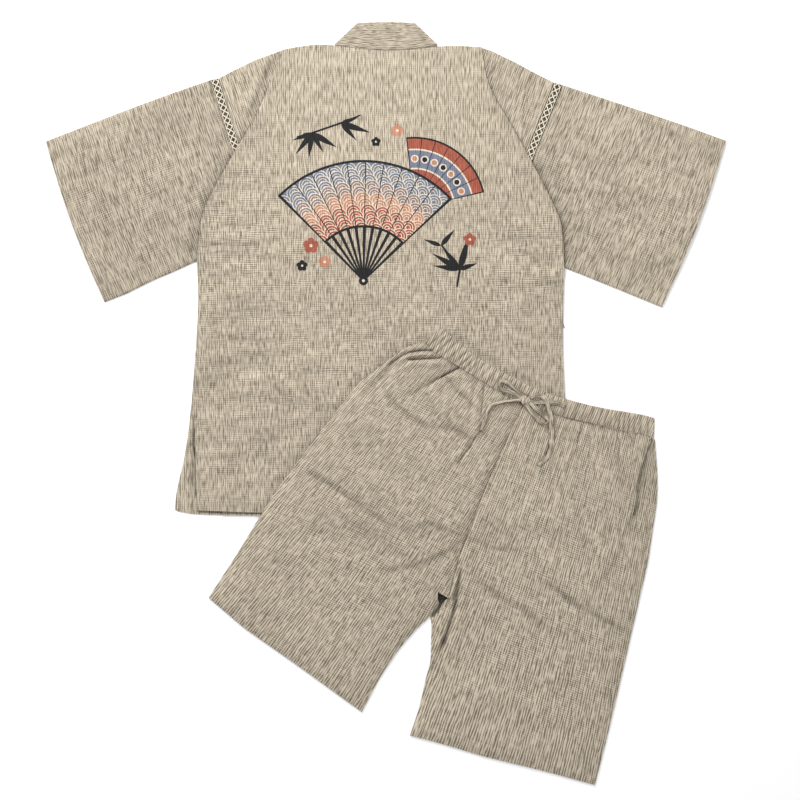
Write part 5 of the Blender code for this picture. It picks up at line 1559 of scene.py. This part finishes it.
# Each point of a run: its place in the shorts' frame and its height over what it lies on, in
# millimetres, and how far the tape is rolled there, in degrees
BOW_RUNS = [
    ("drawstring_loop_right", [
        (-12, -22, 1.4, 10), (-22, -18.5, 1.8, -24), (-36, -14.5, 1.6, -30), (-49, -10.5, 1.2, -20),
        (-57.5, -12, 1.4, 60), (-58, -19, 0.8, 80), (-51, -24, 0.6, 40), (-38, -22.5, 0.6, 24),
        (-24, -23.5, 1.0, 20), (-12, -27, 1.6, 8),
    ], 1.03),
    ("drawstring_loop_left", [
        (-9, -30, 1.0, 10), (1, -37, 0.8, 24), (13, -43.5, 0.8, 30), (25, -48.5, 0.8, 40),
        (34, -47.5, 1.4, 80), (35, -41, 1.6, 70), (26, -36, 2.0, -20), (12, -32, 2.0, -26),
        (2, -27.5, 1.8, -16), (-6, -25, 2.0, -6),
    ], 1.0),
    ("drawstring_strand_left", [
        (51, -9, 0.0, 20), (40, -9.5, 0.3, -24), (28, -13, 0.4, 28), (12, -19, 0.4, 10), (-4, -25, 0.6, 0),
    ], 0.95),
]
for seed, (name, route, light) in enumerate(BOW_RUNS):
    run, _ = tape_piece(name + "_tape", route, TAPE_WIDTH, worn_skin, 2.0 + seed, light)
    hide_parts(name)

TAIL_ROUTES = {
    "drawstring_tail_right": [
        (-17, -27.5, 1.4, 30), (-28, -33, 0.6, 56), (-40, -39.5, 0.4, 48), (-50, -46.5, 0.4, 40),
        (-57, -53.5, 0.4, 58), (-60, -65, 0.4, 50), (-58.5, -75, 0.4, 62), (-58, -84, 0.4, 40),
        (-57, -97, 0.4, 62),
    ],
    "drawstring_tail_left": [
        (-4, -18, 3.4, 10), (6, -11, 3.2, 24), (17, -11, 3.0, -20), (28, -22, 3.6, 30), (35, -31, 3.8, 26),
        (40, -41, 3.6, 14), (46.5, -54, 1.6, 20), (52, -66, 0.6, 4), (56.5, -80, 0.4, -26),
        (56.5, -93, 0.4, 16), (53, -103, 0.4, -12), (48, -112.5, 0.4, 4),
    ],
}
for seed, (name, route) in enumerate(TAIL_ROUTES.items()):
    width = TAPE_WIDTH * (0.86 if name.endswith("right") else 1.0)
    tail, path = tape_piece(name + "_tape", route, width, worn_skin, 7.0 + seed, 1.03)
    long = sum(math.dist(a, b) for a, b in zip(path, path[1:]))
    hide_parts(name)

# The knot: the tape pulled tight round itself in three folds.
KNOT_AT = (-10.5, -25.5)
KNOT_SIZE = (16 * MM, 14 * MM, 7.4 * MM)
KNOT_ROWS, KNOT_TURNS = 22, 30
centre = np.array(to_set([KNOT_AT])[0])
around_knot = centre + np.array([(0, 0), (4, 0), (-4, 0), (0, 4), (0, -4)]) * MM
knot_ground = float(np.max(heights(worn_skin, around_knot)))
c, s = math.cos(SHORTS_TURN), math.sin(SHORTS_TURN)
points, grain, shade = [], [], []
for row in range(1, KNOT_ROWS):
    lean = math.pi * row / KNOT_ROWS
    for turn in range(KNOT_TURNS):
        angle = 2 * math.pi * turn / KNOT_TURNS
        x, y, z = math.cos(lean), math.sin(lean) * math.cos(angle), math.sin(lean) * math.sin(angle)
        wrap = math.sin(7.5 * (x + 0.5 * y) + 1.2 * noise.noise(Vector((2 * x, 2 * y, 2 * z))))
        swell = 1 + 0.1 * wrap + 0.14 * noise.noise(Vector((1.7 * x, 1.7 * y, 4.0 + z)))
        u, v = 0.5 * KNOT_SIZE[0] * x * swell, 0.5 * KNOT_SIZE[1] * y * swell
        points.append((centre[0] + c * u - s * v, centre[1] + s * u + c * v,
                       knot_ground + 0.35 * KNOT_SIZE[2] + 0.5 * KNOT_SIZE[2] * z * swell))
        grain.append((u, v, 12.0))
        # Painted light and shade: the knot's top is painted lighter, its underside and the valleys between
        # its wraps darker.
        shade.append(1.12 + 0.3 * min(0.0, wrap) - 0.35 * max(0.0, -z))
points = np.array(points)
knot = finish_piece(
    "drawstring_knot_tape", points, outward(points, capped(KNOT_ROWS - 1, KNOT_TURNS)), [tape_crepe],
    np.array(grain), 0.1, np.array(shade),
)
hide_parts("drawstring_knot")

# The cloth beside the bow lies in its shade, most on the side away from the light.
BOW_SHADE, SHADE_REACH, SHADE_SIDE = 0.5, 2.6 * MM, (-1.2 * MM, -1.6 * MM)
bow_lines = [
    np.array(to_set(smooth_line([row[:2] for row in route], 24))) + SHADE_SIDE
    for route in [run[1] for run in BOW_RUNS] + list(TAIL_ROUTES.values())
]
for name in ("waistband_cloth", "shorts_front_left_cloth", "shorts_front_right_cloth"):
    mesh = bpy.data.objects[name].data
    places, values = np.zeros(3 * len(mesh.vertices)), np.zeros(len(mesh.vertices))
    mesh.vertices.foreach_get("co", places)
    mesh.attributes["shade"].data.foreach_get("value", values)
    x, y = places[0::3], places[1::3]
    gap = np.min([distance_to(x, y, line) for line in bow_lines], axis=0)
    gap = np.minimum(gap, np.maximum(np.hypot(x - centre[0], y - centre[1]) - 0.5 * KNOT_SIZE[0], 0))
    mesh.attributes["shade"].data.foreach_set(
        "value", (values * (1 - BOW_SHADE * np.exp(-(gap / SHADE_REACH) ** 2))).astype(np.float32)
    )

# The tie that closes the jacket is a flat tape sewn into the wearer's right side seam. It lies
# under the right front, and only a small loop of it shows past the side. Places are in the
# set's frame, in millimetres.
TIE_ROUTE = [(285, 124.6, 0.05, 0), (281, 123, 0.05, 0), (275, 118, 0.05, 0), (273, 106, 0.05, 0),
             (272.5, 60, 0.05, 0), (272, -30, 0.05, 0), (271, -110, 0.05, 0)]
TIE_WIDTH = 8 * MM
floor_skin = skin_of(floor_mesh)
tie, path = tape_piece("tie_side_tape", TIE_ROUTE, TIE_WIDTH, floor_skin, 11.0, 0.95, local=False)
long = sum(math.dist(a, b) for a, b in zip(path, path[1:]))
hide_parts("tie_side")

# The hems, the cuffs, the centre seam, the pocket mouths and the waistband are stitched by
# machine with sand thread, in rows of short stitches that sink a little into the cloth.
STITCH, STITCH_GAP, THREAD_WIDTH = 2.3 * MM, 1.2 * MM, 0.5 * MM
# Along one stitch: share of its length, share of its width, and rise in millimetres
STITCH_RINGS = ((0.0, 0.5, -0.1), (0.3, 1.0, 0.16), (0.7, 1.0, 0.16), (1.0, 0.5, -0.1))
THREAD_LIGHT = 0.8
POCKET_STITCH, SEAM_STITCH = 5 * MM, 6.5 * MM  # how far from the edge they run
thread_paint = crepe("stitch_thread", LINEN_DARK, LINEN_MIDDLE, LINEN_LIGHT, 0.3)


def stitches(name, rows, skin):
    """Rows of stitches along some lines, as one piece: each stitch is a small rounded bar."""
    points, faces, grain = [], [], []
    for row in rows:
        line = np.array(stepped(row, 0.5 * (STITCH + STITCH_GAP)))
        reach = np.r_[0, np.cumsum(np.linalg.norm(np.diff(line, axis=0), axis=1))]
        starts = np.arange(0.5 * STITCH_GAP, reach[-1] - STITCH, STITCH + STITCH_GAP)
        ends = [
            np.column_stack([np.interp(starts + far, reach, line[:, k]) for k in (0, 1)])
            for far in (0, STITCH)
        ]
        levels = [heights(skin, plan) for plan in ends]
        for near, far, low, high in zip(*ends, *levels):
            a, b = np.array([*near, low]), np.array([*far, high])
            run = unit(b - a)
            side = np.array([-run[1], run[0], 0.0])
            first = len(points)
            for share, size, rise in STITCH_RINGS:
                middle = a + (b - a) * share
                for out, up in ((-0.5, 0.0), (0.0, 0.5), (0.5, 0.0), (0.0, -0.5)):
                    points.append(middle + side * out * size * THREAD_WIDTH
                                  + np.array([0, 0, up * size * THREAD_WIDTH + rise * MM]))
                    grain.append((0.2 * share, 0.0, float(first)))
            for ring in (first, first + 4, first + 8):
                for j in range(4):
                    beyond = (j + 1) % 4
                    faces.append((ring + j, ring + 4 + j, ring + 4 + beyond, ring + beyond))
            faces += [tuple(range(first, first + 4)), tuple(range(first + 15, first + 11, -1))]
    sewn = finish_piece(name, np.array(points), faces, [thread_paint], np.array(grain), 0.0, THREAD_LIGHT)


def beside(line, gap):
    """A line for stitches, so far to the left of the given one."""
    return moved(stepped(line, 6 * MM), gap)


for side in ("left", "right"):
    skin = skin_of(bpy.data.objects["shorts_front_" + side + "_cloth"].data)
    turn = 1.0 if side == "left" else -1.0
    rows = [beside(to_set(LEG_HEM[side]), 0.0), beside(to_set(POCKET[side]), turn * POCKET_STITCH)]
    if side == "left":
        rows.append(beside(to_set(MIDDLE_SEAM), SEAM_STITCH))
    stitches("stitches_shorts_" + side, rows, skin)
    skin = skin_of(bpy.data.objects["sleeve_" + side + "_cloth"].data)
    place = across_sleeve(side, hem_share)
    stitches("stitches_cuff_" + side, [[place(u) for u in np.linspace(0.02, 0.98, 24)]], skin)

waist_line = [
    share_of(seam_line, u) * (1 - STITCHED_AT) + share_of(top_line, u) * STITCHED_AT
    for u in np.linspace(0.02, 0.98, 200)
]
stitches("stitches_waist", [to_set(waist_line)], skin_of(waistband.data))
stitches("stitches_back_hem", [hem_line], skin_of(bpy.data.objects["back_cloth"].data))
